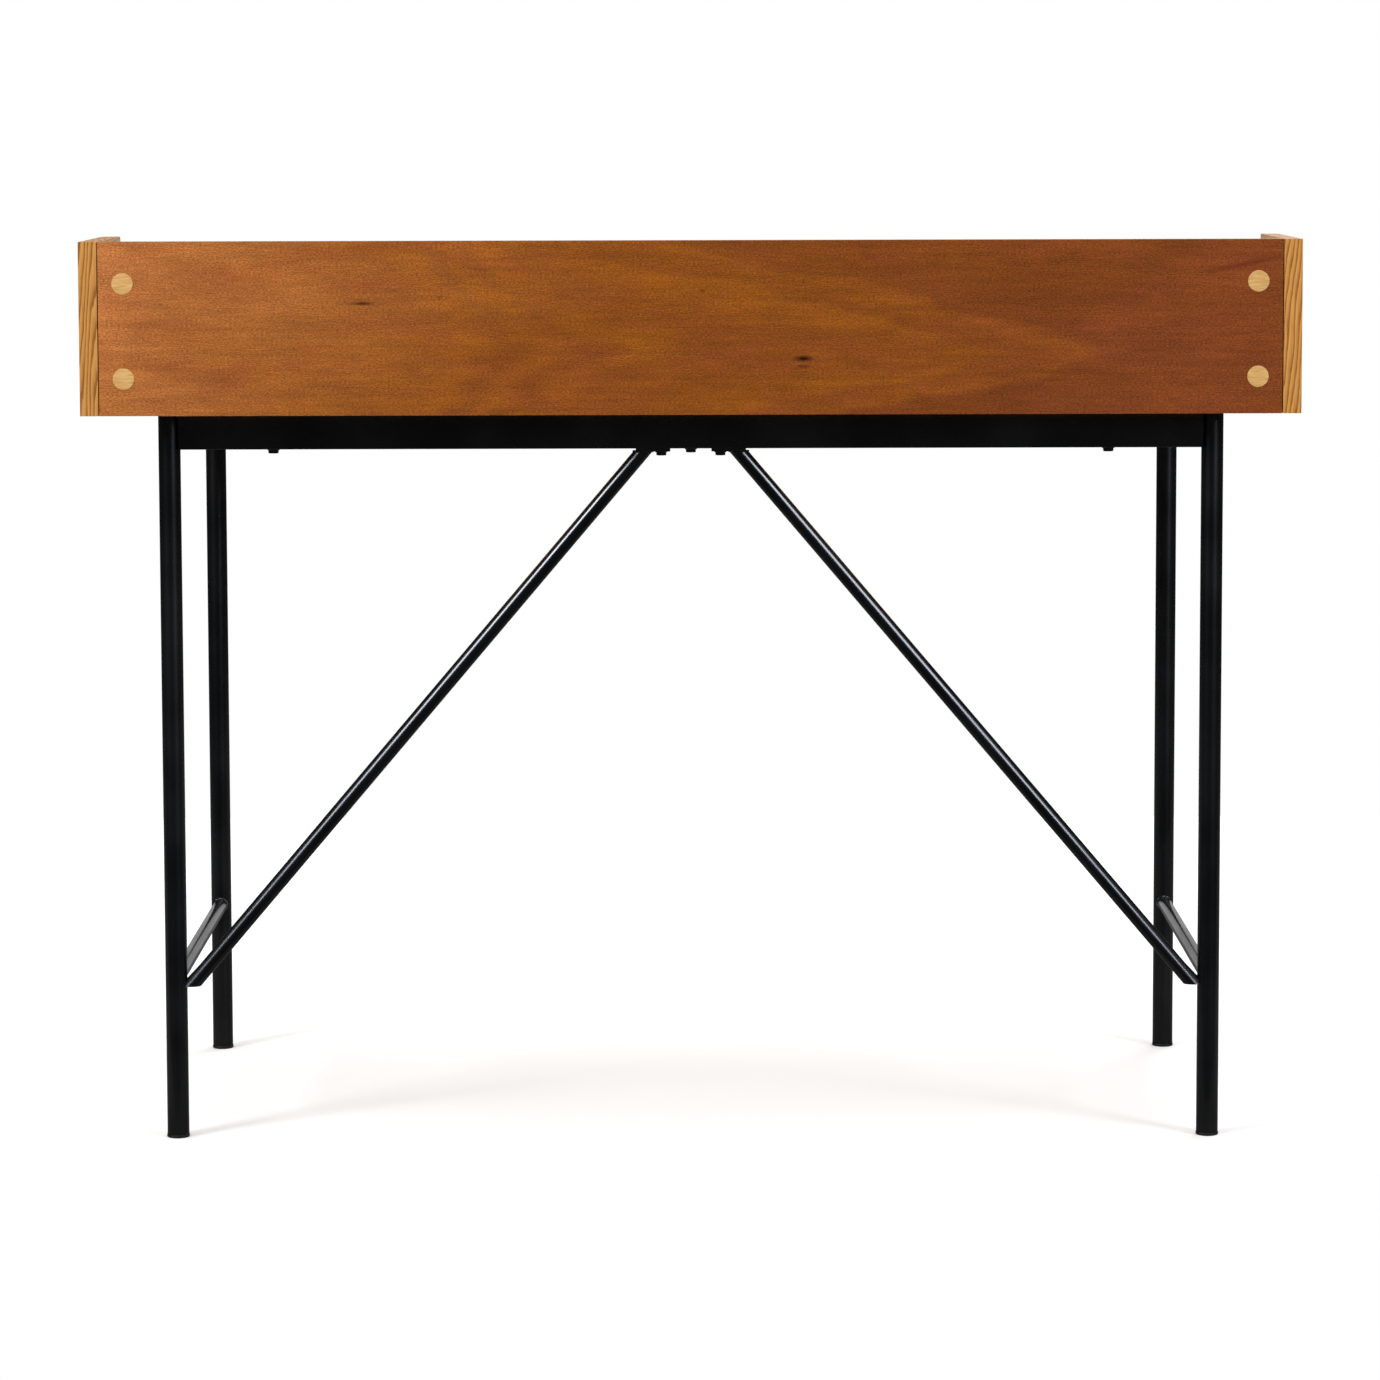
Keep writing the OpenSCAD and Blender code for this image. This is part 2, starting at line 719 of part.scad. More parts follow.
// Bolts up through the front and rear rails into the desktop
module case_bolts() {
    color(steel_black) for (x = [-case_bolt_x, 0, case_bolt_x]) for (y = [-leg_y, leg_y])
        translate([x, y, rail_z]) flange_bolt(case_bolt_l);
}

module threaded_inserts() {
    color(steel_plain) for (x = [-case_bolt_x, 0, case_bolt_x]) for (y = [-leg_y, leg_y])
        translate([x, y, frame_h]) difference() {
            cylinder(h = insert_l, d = insert_d);
            translate([0, 0, -cut]) cylinder(h = insert_l + 2 * cut, d = nut_bore_d);
        }
}

// Bolts of the braces: one up through each tab, one through each lug
module brace_bolts() {
    y = leg_y - rod_d / 2 - lug_t;
    color(steel_black) for (side = [LEFT, RIGHT]) on_side(side) {
        translate([tab_bolt_x, leg_y, rail_z - tab_t]) flange_bolt(tab_t + nut_l - 1);
        translate([brace_x(lug_bolt_z), y, lug_bolt_z]) rotate([-90, 0, 0]) difference() {
            union() {
                translate([0, 0, -m5_head_h])
                    cylinder(h = m5_head_h, d1 = m5_head_top_d, d2 = m5_head_d);
                translate([0, 0, -m5_key_depth]) cylinder(h = m5_key_depth + lug_t + m5_nut_l - 1, d = m5);
            }
            translate([0, 0, -m5_head_h - cut])
                cylinder(h = m5_key_depth + cut, d = m5_key_af / cos(30), $fn = 6);
        }
    }
}

// A rivet nut from z = 0 along +Z
module rivet_nut(l, d, bore_d) {
    difference() {
        cylinder(h = l, d = d);
        translate([0, 0, -cut]) cylinder(h = l + 2 * cut, d = bore_d);
    }
}

module rivet_nuts() {
    color(steel_plain) {
        at_brackets() for (x = bracket_bolt_x)
            translate([x, leg_y - rail_t / 2, bracket_bolt_z]) rotate([-90, 0, 0])
                rivet_nut(nut_l, nut_d, nut_bore_d);
        for (side = [LEFT, RIGHT]) on_side(side) {
            translate([tab_bolt_x, leg_y, rail_z]) rivet_nut(nut_l, nut_d, nut_bore_d);
            translate([brace_x(lug_bolt_z), leg_y - rod_d / 2, lug_bolt_z]) rotate([-90, 0, 0])
                rivet_nut(m5_nut_l, m5_nut_d, m5_nut_bore_d);
        }
    }
}

// ---------- nodes ----------

side_panel(LEFT);  // side_panel_left
side_panel(RIGHT);  // side_panel_right
back_panel();
desktop();
gallery_shelf();
divider(LEFT);  // divider_left
divider(RIGHT);  // divider_right
cam_locks();
cam_dowels();
cam_cover_caps();
divider_screws();
divider_dowels();
back_panel_dowels();
drawer_glides();
drawer_stops();
drawer_bumpers();
drawer_front(LEFT);  // drawer_left_front
drawer_side(LEFT, -1);  // drawer_left_side_outer
drawer_side(LEFT, 1);  // drawer_left_side_inner
drawer_back(LEFT);  // drawer_left_back
drawer_bottom(LEFT);  // drawer_left_bottom
drawer_knob(LEFT);  // drawer_left_knob
drawer_knob_screw(LEFT);  // drawer_left_knob_screw
drawer_dowels(LEFT);  // drawer_left_dowels
drawer_front(RIGHT);  // drawer_right_front
drawer_side(RIGHT, 1);  // drawer_right_side_outer
drawer_side(RIGHT, -1);  // drawer_right_side_inner
drawer_back(RIGHT);  // drawer_right_back
drawer_bottom(RIGHT);  // drawer_right_bottom
drawer_knob(RIGHT);  // drawer_right_knob
drawer_knob_screw(RIGHT);  // drawer_right_knob_screw
drawer_dowels(RIGHT);  // drawer_right_dowels
leg(-leg_x, -leg_y);  // leg_front_left
leg(leg_x, -leg_y);  // leg_front_right
leg(-leg_x, leg_y);  // leg_rear_left
leg(leg_x, leg_y);  // leg_rear_right
foot(-leg_x, -leg_y);  // foot_front_left
foot(leg_x, -leg_y);  // foot_front_right
foot(-leg_x, leg_y);  // foot_rear_left
foot(leg_x, leg_y);  // foot_rear_right
stretcher(LEFT);  // stretcher_left
stretcher(RIGHT);  // stretcher_right
side_rail(LEFT);  // side_rail_left
side_rail(RIGHT);  // side_rail_right
long_rail(-1);  // front_rail
long_rail(1);  // rear_rail
brace(LEFT);  // brace_left
brace(RIGHT);  // brace_right
brace_tab(LEFT);  // brace_tab_left
brace_tab(RIGHT);  // brace_tab_right
brace_lug(LEFT);  // brace_lug_left
brace_lug(RIGHT);  // brace_lug_right
rail_brackets();
bracket_bolts();
case_bolts();
threaded_inserts();
brace_bolts();
rivet_nuts();
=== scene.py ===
"""A writing desk: an oak-veneered case with a raised gallery and two drawers, on a black steel tube frame.

Metres, +Z up, the origin on the floor at the middle of the desk. The sitter is on the -Y side.
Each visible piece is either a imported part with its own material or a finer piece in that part's place.
"""

import json
import math

import bmesh
import bpy
import numpy as np
from mathutils import Matrix, Vector

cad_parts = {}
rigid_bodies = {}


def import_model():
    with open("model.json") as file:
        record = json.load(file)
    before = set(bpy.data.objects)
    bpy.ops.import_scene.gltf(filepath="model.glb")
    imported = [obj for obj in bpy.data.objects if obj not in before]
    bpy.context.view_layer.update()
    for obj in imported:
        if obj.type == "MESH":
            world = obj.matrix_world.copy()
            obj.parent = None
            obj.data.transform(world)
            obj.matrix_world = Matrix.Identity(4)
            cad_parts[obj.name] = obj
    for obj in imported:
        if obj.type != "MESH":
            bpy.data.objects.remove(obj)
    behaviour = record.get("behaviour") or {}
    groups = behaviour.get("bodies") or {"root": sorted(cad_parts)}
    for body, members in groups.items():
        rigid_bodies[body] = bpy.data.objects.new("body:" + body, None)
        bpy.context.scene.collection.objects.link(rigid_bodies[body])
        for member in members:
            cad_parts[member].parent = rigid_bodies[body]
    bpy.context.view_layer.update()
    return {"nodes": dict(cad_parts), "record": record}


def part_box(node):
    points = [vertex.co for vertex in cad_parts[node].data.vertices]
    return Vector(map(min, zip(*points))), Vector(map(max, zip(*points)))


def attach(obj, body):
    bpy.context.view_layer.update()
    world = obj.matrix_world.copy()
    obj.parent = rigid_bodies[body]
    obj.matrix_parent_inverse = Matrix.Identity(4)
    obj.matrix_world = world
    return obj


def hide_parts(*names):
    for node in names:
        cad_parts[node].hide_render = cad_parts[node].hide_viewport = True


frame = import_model()

MM = 0.001
GRAIN = "grain"  # the UV map of boards, in metres: along the grain, then across it
BODY_OF = {
    node: body
    for body, nodes in frame["record"]["behaviour"]["bodies"].items()
    for node in nodes
}

# Places and sizes, from the frame
LEG_LOW, LEG_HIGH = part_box("leg_rear_right")
LEG_R = (LEG_HIGH.x - LEG_LOW.x) / 2
LEG_X = (LEG_HIGH.x + LEG_LOW.x) / 2
LEG_Y = (LEG_HIGH.y + LEG_LOW.y) / 2
FOOT_H = LEG_LOW.z
FRAME_TOP = LEG_HIGH.z
RAIL_LOW, RAIL_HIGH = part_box("rear_rail")
RAIL_Z = RAIL_LOW.z
RAIL_END_X = RAIL_HIGH.x
ROD_LOW, ROD_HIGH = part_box("stretcher_right")
ROD_R = (ROD_HIGH.z - ROD_LOW.z) / 2
STRETCHER_Z = (ROD_HIGH.z + ROD_LOW.z) / 2
PANEL_LOW, PANEL_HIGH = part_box("back_panel")
TAB_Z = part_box("brace_tab_right")[0].z
LUG_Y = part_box("brace_lug_right")[0].y
BRACE_CUT_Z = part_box("brace_right")[0].z
BRACE_TOP_X = 45 * MM  # a brace's axis at the underside of the rail
BRACE_FOOT_X = LEG_X - LEG_R - 4.1 * MM  # and at its lower cut
BRACE_AXIS = Vector((BRACE_TOP_X - BRACE_FOOT_X, 0, RAIL_Z - BRACE_CUT_Z)).normalized()
LEG_WALL = 1.5 * MM
ROD_WALL = 1.2 * MM
RAIL_WALL = 1.5 * MM
SIDES = {"left": -1, "right": 1}  # each side's sign in X
ENDS = (-1, 1)  # the front and the rear end's sign in Y
X, Y, Z = 0, 1, 2
SAME_POINT = 0.001 * MM  # points closer than this are merged


# ---------------------------------------------------------------- nodes and colours


def linear(hex_colour):
    """A hex sRGB colour as linear red, green, blue and alpha, by the sRGB curve."""
    srgb = [int(hex_colour[i : i + 2], 16) / 255 for i in (1, 3, 5)]
    return (*[c / 12.92 if c <= 0.04045 else ((c + 0.055) / 1.055) ** 2.4 for c in srgb], 1.0)


def add(tree, kind, inputs=None, stops=None, **settings):
    """Adds a shader node. Inputs give each socket a value, a socket or another node's first output."""
    node = tree.nodes.new("ShaderNode" + kind)
    for name, value in settings.items():
        setattr(node, name, value)
    for key, value in (inputs or {}).items():
        named = (s for s in node.inputs if s.enabled and s.name == key)
        socket = node.inputs[key] if isinstance(key, int) else next(named)
        if isinstance(value, bpy.types.Node):
            value = next(s for s in value.outputs if s.enabled)
        if isinstance(value, bpy.types.NodeSocket):
            tree.links.new(value, socket)
        else:
            socket.default_value = value
    if stops:
        ramp = node.color_ramp
        while len(ramp.elements) < len(stops):
            ramp.elements.new(0.5)
        for element, (place, colour) in zip(ramp.elements, stops):
            element.position = place
            element.color = linear(colour) if isinstance(colour, str) else (colour,) * 3 + (1,)
    return node


def material(name, **shader_values):
    """A new material, as its node tree and its Principled shader with the given sockets set."""
    mat = bpy.data.materials.new(name)
    mat.use_nodes = True
    tree = mat.node_tree
    tree.nodes.clear()
    shader = add(tree, "BsdfPrincipled", {k.replace("_", " "): v for k, v in shader_values.items()})
    add(tree, "OutputMaterial", {"Surface": shader})
    return mat, tree, shader


def set_shader(tree, shader, **links):
    """Links nodes to the shader's sockets."""
    for name, node in links.items():
        tree.links.new(next(s for s in node.outputs if s.enabled), shader.inputs[name.replace("_", " ")])


# ---------------------------------------------------------------- materials

# Pattern scales are repeats per metre: along the grain, across it and through it, or along X, Y and Z
MOST = {"From Min": 0.3, "From Max": 0.7}  # most of a noise's values lie in this range


def oak_veneer(name, dark, light, shift, leaf, heart, rings_per_m2, arches_per_m, waver_per_m, waver_rings):
    """Flat-cut oak veneer, sanded and lacquered satin: nested arches, with open pores in each ring's
    early wood that read as short dark dashes, and a slow drift of tone from leaf to leaf."""
    mat, tree, shader = material(name, Roughness=0.4, IOR=1.5, Specular_IOR_Level=0.3)
    grain = add(tree, "UVMap", uv_map=GRAIN)
    moved = add(tree, "Mapping", {"Vector": grain, "Location": (shift, shift * 0.37, 0)})
    split = add(tree, "SeparateXYZ", {"Vector": moved})
    along, across = split.outputs["X"], split.outputs["Y"]
    leaves = add(tree, "Math", {0: across, 1: leaf}, operation="DIVIDE")
    number = add(tree, "Math", {0: leaves}, operation="FLOOR")
    chance = add(tree, "TexWhiteNoise", {"W": number}, noise_dimensions="1D")
    in_leaf = add(tree, "Math", {0: leaves, 1: number}, operation="SUBTRACT")
    # Rings: the squared distance from the leaf's heart makes the arches, and each leaf starts at another
    offset = add(tree, "MapRange", {"Value": chance, "To Min": heart[0], "To Max": heart[1]})
    from_heart = add(tree, "Math", {0: in_leaf, 1: offset}, operation="ADD")
    heart_m = add(tree, "Math", {0: from_heart, 1: leaf}, operation="MULTIPLY")
    squared = add(tree, "Math", {0: heart_m, 1: heart_m}, operation="MULTIPLY")
    rings = add(tree, "Math", {0: squared, 1: rings_per_m2}, operation="MULTIPLY")
    start = add(tree, "Math", {0: chance, 1: 40.0, 2: rings}, operation="MULTIPLY_ADD")
    arches = add(tree, "Math", {0: along, 1: arches_per_m, 2: start}, operation="MULTIPLY_ADD")
    wide = add(tree, "Mapping", {"Vector": moved, "Scale": waver_per_m})
    waver = add(tree, "TexNoise", {"Vector": wide, "Scale": 1.0, "Detail": 3.0, "Roughness": 0.45})
    phase = add(tree, "Math", {0: waver, 1: waver_rings, 2: arches}, operation="MULTIPLY_ADD")
    ring = add(tree, "Math", {0: phase}, operation="FRACT")
    across_ring = [(0.0, 0.15), (0.10, 0.0), (0.38, 0.62), (0.75, 0.95), (0.93, 1.0), (1.0, 0.15)]
    ring_tone = add(tree, "ValToRGB", {"Fac": ring}, stops=across_ring)
    # Fibres are 0.9 mm wide and 30 mm long; pores are 0.6 mm wide, coarser than real ones so that they show
    fibres_per_m, pores_per_m = (34, 1100, 1), (95, 1700, 1)
    fibre_place = add(tree, "Mapping", {"Vector": moved, "Scale": fibres_per_m})
    fibre = add(tree, "TexNoise", {"Vector": fibre_place, "Scale": 1.0, "Detail": 2.0})
    pore_place = add(tree, "Mapping", {"Vector": moved, "Scale": pores_per_m})
    pore = add(tree, "TexNoise", {"Vector": pore_place, "Scale": 1.0, "Detail": 1.0})
    pore_dash = add(tree, "ValToRGB", {"Fac": pore}, stops=[(0.56, 0.0), (0.66, 1.0)])
    early = add(tree, "ValToRGB", {"Fac": ring}, stops=[(0.0, 0.5), (0.1, 1.0), (0.45, 0.12), (1.0, 0.05)])
    pores = add(tree, "Math", {0: pore_dash, 1: early}, operation="MULTIPLY")
    ends = {"A": linear(dark), "B": linear(light)}
    wood = add(tree, "Mix", {"Factor": ring_tone, **ends}, data_type="RGBA")
    fibre_tone = add(tree, "MapRange", {"Value": fibre, **MOST, "To Min": 0.86, "To Max": 1.1})
    leaf_tone = add(tree, "MapRange", {"Value": chance, "To Min": 0.93, "To Max": 1.06})
    tone = add(tree, "Math", {0: fibre_tone, 1: leaf_tone}, operation="MULTIPLY")
    toned = add(tree, "VectorMath", {0: wood, "Scale": tone}, operation="SCALE")
    pored = add(tree, "Mix", {"Factor": pores, "A": toned, "B": linear("#6E4A22")}, data_type="RGBA")
    rough = add(tree, "MapRange", {"Value": pores, "To Min": 0.37, "To Max": 0.6})
    height = add(tree, "Math", {0: fibre, 1: 0.35}, operation="MULTIPLY")
    relief = add(tree, "Math", {0: height, 1: pores}, operation="SUBTRACT")
    bump = add(tree, "Bump", {"Height": relief, "Strength": 0.5, "Distance": 0.08 * MM})
    set_shader(tree, shader, Base_Color=pored, Roughness=rough, Normal=bump)
    return mat


def okoume_plywood(name, marked):
    """Rotary-cut okoume face veneer, stained red-brown with a dull lacquer. It gives fine short pores and
    streaks along the sheet, growth rings cut into soft tongues that point to the dark end, a drift of
    tone from a light end to that dark end, painted shade low on the sheet and painted light at its top
    and, where it is marked, a pin knot and a few flecks."""
    mat, tree, shader = material(name, Roughness=0.4, IOR=1.5, Specular_IOR_Level=0.15)
    length = PANEL_HIGH.x - PANEL_LOW.x
    low, high = PANEL_LOW.z, PANEL_HIGH.z
    grain = add(tree, "UVMap", uv_map=GRAIN)
    split = add(tree, "SeparateXYZ", {"Vector": grain})
    along, across = split.outputs["X"], split.outputs["Y"]
    # The drift of tone: the share of the sheet's length from its light end, plus painted shade that makes
    # the sheet darker low down and lighter at its top, and shifted by slow clouds
    share = add(tree, "MapRange", {"Value": along, "From Min": length / 2, "From Max": -length / 2})
    cloud_place = add(tree, "Mapping", {"Vector": grain, "Scale": (4.2, 17, 1), "Rotation": (0, 0, 0.10)})
    cloudy = {"Scale": 1.0, "Detail": 4.0, "Roughness": 0.5, "Distortion": 0.8}
    cloud = add(tree, "TexNoise", {"Vector": cloud_place, **cloudy})
    drift_shift = add(tree, "MapRange", {"Value": cloud, **MOST, "To Min": 0.02, "To Max": 0.12})
    sheet = {"From Min": low, "From Max": high}
    # Painted shade: the tone is pushed darker low down on the sheet and lighter at its top
    painted_shade_low = add(tree, "MapRange", {"Value": across, **sheet, "To Min": 0.06, "To Max": -0.07})
    share_and_painted_shade = add(tree, "Math", {0: share, 1: painted_shade_low}, operation="ADD")
    drift = add(tree, "Math", {0: share_and_painted_shade, 1: drift_shift}, operation="ADD")
    light_to_dark = [
        (0.0, "#C87C45"),
        (0.12, "#B46D37"),
        (0.24, "#A35F29"),
        (0.36, "#95541C"),
        (0.46, "#874812"),
        (0.62, "#844510"),
        (0.84, "#7B3E12"),
        (1.0, "#81401A"),
    ]
    base = add(tree, "ValToRGB", {"Fac": drift}, stops=light_to_dark)
    # Rings: distance along the sheet, plus distance from the tongues' middle line times a slope that
    # grows towards the dark end. Steep bands at the light end turn into one long golden tongue with a
    # fainter one round it, and plain reddish wood past them
    middle = high - 108 * MM
    tip = 1.0e-4  # in square metres, it rounds the tongues' tips to about 10 mm
    off_line = add(tree, "Math", {0: across, 1: middle}, operation="SUBTRACT")
    squared = add(tree, "Math", {0: off_line, 1: off_line, 2: tip}, operation="MULTIPLY_ADD")
    rise = add(tree, "Math", {0: squared}, operation="SQRT")
    turn = {"From Min": 0.27, "From Max": 0.42}
    slope = add(tree, "MapRange", {"Value": share, **turn, "To Min": 0.8, "To Max": 4.5})
    from_end = add(tree, "Math", {0: share, 1: length}, operation="MULTIPLY")
    tongue = add(tree, "Math", {0: rise, 1: slope, 2: from_end}, operation="MULTIPLY_ADD")
    warped = add(tree, "Math", {0: cloud, 1: 0.22, 2: tongue}, operation="MULTIPLY_ADD")
    reach = add(tree, "MapRange", {"Value": warped, "From Min": 0.11, "From Max": 1.51})
    steep_bands = [(0.0, 0.3), (0.25, 0.4), (0.285, 0.95), (0.32, 0.0), (0.355, 0.9), (0.39, 0.1)]
    tongues = [(0.43, 0.8), (0.48, 0.25), (0.55, 0.45), (0.64, 1.0), (0.665, 0.3), (0.72, 0.65)]
    plain_end = [(0.745, 0.0), (1.0, 0.15)]
    band = add(tree, "ValToRGB", {"Fac": reach}, stops=steep_bands + tongues + plain_end)
    # Golden wood in the rings, and blushes of red
    hue_place = add(tree, "Mapping", {"Vector": grain, "Scale": (14.0, 44.0, 1), "Location": (3, 1, 0)})
    hue = add(tree, "TexNoise", {"Vector": hue_place, "Scale": 1.0, "Detail": 5.0, "Roughness": 0.6})
    golden = add(tree, "Math", {0: band, 1: hue}, operation="MULTIPLY")
    yellowed = add(tree, "Mix", {"Factor": golden, "A": base, "B": linear("#985607")}, data_type="RGBA")
    blush = add(tree, "SeparateXYZ", {"Vector": hue.outputs["Color"]}).outputs["Y"]
    blushed = add(tree, "MapRange", {"Value": blush, "From Min": 0.45, "From Max": 0.75, "To Max": 0.55})
    tinted = add(tree, "Mix", {"Factor": blushed, "A": yellowed, "B": linear("#8E4522")}, data_type="RGBA")
    tones = [
        add(tree, "MapRange", {"Value": band, "To Min": 0.94, "To Max": 1.05}),
        add(tree, "MapRange", {"Value": hue, **MOST, "To Min": 0.88, "To Max": 1.10}),
    ]
    # Wisps, then streaks 1 mm wide and 15 mm long and pores 2.4 mm long, both drawn coarse enough to show
    figure = [
        ((11, 170, 1), {"Detail": 3.0, "Distortion": 0.5}, 0.90, 1.10),
        ((60, 950, 1), {"Detail": 3.0, "Roughness": 0.6}, 0.84, 1.16),
        ((420, 1000, 1), {"Detail": 2.0, "Roughness": 0.7}, 1.5, 0.48),
    ]
    noises = []
    for per_m, kind, first, last in figure:
        place = add(tree, "Mapping", {"Vector": grain, "Scale": per_m})
        noises.append(add(tree, "TexNoise", {"Vector": place, "Scale": 1.0, **kind}))
        tones.append(add(tree, "MapRange", {"Value": noises[-1], **MOST, "To Min": first, "To Max": last}))
    streak, pore = noises[1:]
    colour = tinted
    for tone in tones:
        colour = add(tree, "VectorMath", {0: colour, "Scale": tone}, operation="SCALE")
    # Marks in the sheet: place along it, height below its top, half length, half height, turn, how far in
    # its full depth starts, depth and colour. The last one is a mineral streak that rises to the dark end
    bark, mineral = linear("#260D04"), linear("#5E1D12")
    marks = [
        (-0.111, 116 * MM, 12.5 * MM, 3.9 * MM, 0, 0.2, 0.97, bark),  # the pin knot
        (-0.111, 123.5 * MM, 9.0 * MM, 2.0 * MM, 0, 0.2, 0.6, bark),
        (0.322, 61 * MM, 12.0 * MM, 1.9 * MM, 0, 0.2, 0.72, bark),
        (0.322, 61 * MM, 32.0 * MM, 3.0 * MM, 0, 0.2, 0.3, bark),
        (-0.012, 49 * MM, 4.0 * MM, 2.0 * MM, 0, 0.2, 0.5, bark),
        (0.246, 54.5 * MM, 6.0 * MM, 1.8 * MM, 0, 0.2, 0.4, bark),
        (0.520, 62 * MM, 5.0 * MM, 1.6 * MM, 0, 0.2, 0.35, bark),
        (0.415, 130 * MM, 4.0 * MM, 1.8 * MM, 0, 0.2, 0.35, bark),
        (-0.545, 24 * MM, 58 * MM, 4.2 * MM, -0.19, 0.0, 0.6, mineral),
    ]
    for x, below_top, half_l, half_h, turned_by, core, depth, tint in marks if marked else marks[-1:]:
        spot = {"Location": (x, high - below_top, 0), "Rotation": (0, 0, turned_by)}
        size = {"Scale": (half_l, half_h, 1)}
        centred = add(tree, "Mapping", {"Vector": grain, **spot, **size}, vector_type="TEXTURE")
        far = add(tree, "VectorMath", {0: centred}, operation="LENGTH").outputs["Value"]
        mask = add(tree, "MapRange", {"Value": far, "From Min": 1.0, "From Max": core, "To Max": depth})
        colour = add(tree, "Mix", {"Factor": mask, "A": colour, "B": tint}, data_type="RGBA")
    pores = add(tree, "ValToRGB", {"Fac": pore}, stops=[(0.55, 0.0), (0.68, 1.0)])
    rough = add(tree, "MapRange", {"Value": pores, "To Min": 0.38, "To Max": 0.52})
    relief = add(tree, "Math", {0: streak, 1: pores}, operation="SUBTRACT")
    bump = add(tree, "Bump", {"Height": relief, "Strength": 0.35, "Distance": 0.06 * MM})
    set_shader(tree, shader, Base_Color=colour, Roughness=rough, Normal=bump)
    return mat


def plywood_edge(name, pale, dark, ply, origin):
    """The sanded edge of plywood: plies in turn along and across the edge, with thin dark glue lines."""
    mat, tree, shader = material(name, Roughness=0.6, IOR=1.5)
    grain = add(tree, "UVMap", uv_map=GRAIN)
    split = add(tree, "SeparateXYZ", {"Vector": grain})
    depth = add(tree, "Math", {0: split.outputs["Y"], 1: origin}, operation="SUBTRACT")
    plies = add(tree, "Math", {0: depth, 1: ply}, operation="DIVIDE")
    pair = add(tree, "Math", {0: plies, 1: 2.0}, operation="FLOORED_MODULO")
    which = add(tree, "Math", {0: pair, 1: 1.0}, operation="GREATER_THAN")
    in_ply = add(tree, "Math", {0: plies}, operation="FRACT")
    from_glue = add(tree, "Math", {0: in_ply, 1: 0.5}, operation="SUBTRACT")
    near_glue = add(tree, "Math", {0: from_glue}, operation="ABSOLUTE")
    glue = add(tree, "ValToRGB", {"Fac": near_glue}, stops=[(0.44, 0.0), (0.49, 0.8)])
    # Fibres that run along the edge are 17 mm long and 0.5 mm wide; cut ends of fibres are about 1 mm across
    fibres_per_m, ends_per_m = (60, 2200, 1), (1500, 900, 1)
    fibre_place = add(tree, "Mapping", {"Vector": grain, "Scale": fibres_per_m})
    fibre = add(tree, "TexNoise", {"Vector": fibre_place, "Scale": 1.0, "Detail": 3.0})
    end_place = add(tree, "Mapping", {"Vector": grain, "Scale": ends_per_m})
    ends = add(tree, "TexNoise", {"Vector": end_place, "Scale": 1.0, "Detail": 3.0})
    wood = add(tree, "Mix", {"Factor": which, "A": linear(pale), "B": linear(dark)}, data_type="RGBA")
    texture = add(tree, "Mix", {"Factor": which, "A": fibre, "B": ends}, data_type="FLOAT")
    tone = add(tree, "MapRange", {"Value": texture, **MOST, "To Min": 0.82, "To Max": 1.12})
    toned = add(tree, "VectorMath", {0: wood, "Scale": tone}, operation="SCALE")
    glued = add(tree, "Mix", {"Factor": glue, "A": toned, "B": linear("#4A2C16")}, data_type="RGBA")
    bump = add(tree, "Bump", {"Height": texture, "Strength": 0.4, "Distance": 0.08 * MM})
    set_shader(tree, shader, Base_Color=glued, Normal=bump)
    return mat


def plain_wood(name, dark, light):
    """Birch or beech, planed and sealed: fine straight grain with small darker ray flecks."""
    mat, tree, shader = material(name, Roughness=0.5, IOR=1.5)
    grain = add(tree, "UVMap", uv_map=GRAIN)
    # Bands of grain are 17 mm wide; ray flecks are 2.4 mm long and 0.7 mm wide
    bands_per_m, flecks_per_m = (4, 60, 1), (420, 1500, 1)
    broad_place = add(tree, "Mapping", {"Vector": grain, "Scale": bands_per_m})
    broad = add(tree, "TexNoise", {"Vector": broad_place, "Scale": 1.0, "Detail": 4.0, "Distortion": 0.6})
    fleck_place = add(tree, "Mapping", {"Vector": grain, "Scale": flecks_per_m})
    fleck = add(tree, "TexNoise", {"Vector": fleck_place, "Scale": 1.0, "Detail": 1.0})
    flecks = add(tree, "ValToRGB", {"Fac": fleck}, stops=[(0.58, 0.0), (0.70, 0.6)])
    tone = add(tree, "ValToRGB", {"Fac": broad}, stops=[(0.3, dark), (0.62, light)])
    colour = add(tree, "Mix", {"Factor": flecks, "A": tone, "B": linear("#A87A4C")}, data_type="RGBA")
    bump = add(tree, "Bump", {"Height": fleck, "Strength": 0.3, "Distance": 0.04 * MM})
    set_shader(tree, shader, Base_Color=colour, Normal=bump)
    return mat


def maple_foil(name):
    """Printed maple foil on a stuck-on cap: pale, faintly streaked and satin."""
    mat, tree, shader = material(name, Roughness=0.42, IOR=1.48)
    place = add(tree, "TexCoord").outputs["Object"]
    # Printed streaks are 11 mm long and 1.4 mm wide
    streaks_per_m = (90, 1, 700)
    streak_place = add(tree, "Mapping", {"Vector": place, "Scale": streaks_per_m})
    streak = add(tree, "TexNoise", {"Vector": streak_place, "Scale": 1.0, "Detail": 4.0, "Roughness": 0.6})
    maple = [(0.28, "#BC8B4E"), (0.5, "#D3A461"), (0.72, "#E2B877")]
    tone = add(tree, "ValToRGB", {"Fac": streak}, stops=maple)
    bump = add(tree, "Bump", {"Height": streak, "Strength": 0.2, "Distance": 0.03 * MM})
    set_shader(tree, shader, Base_Color=tone, Normal=bump)
    return mat


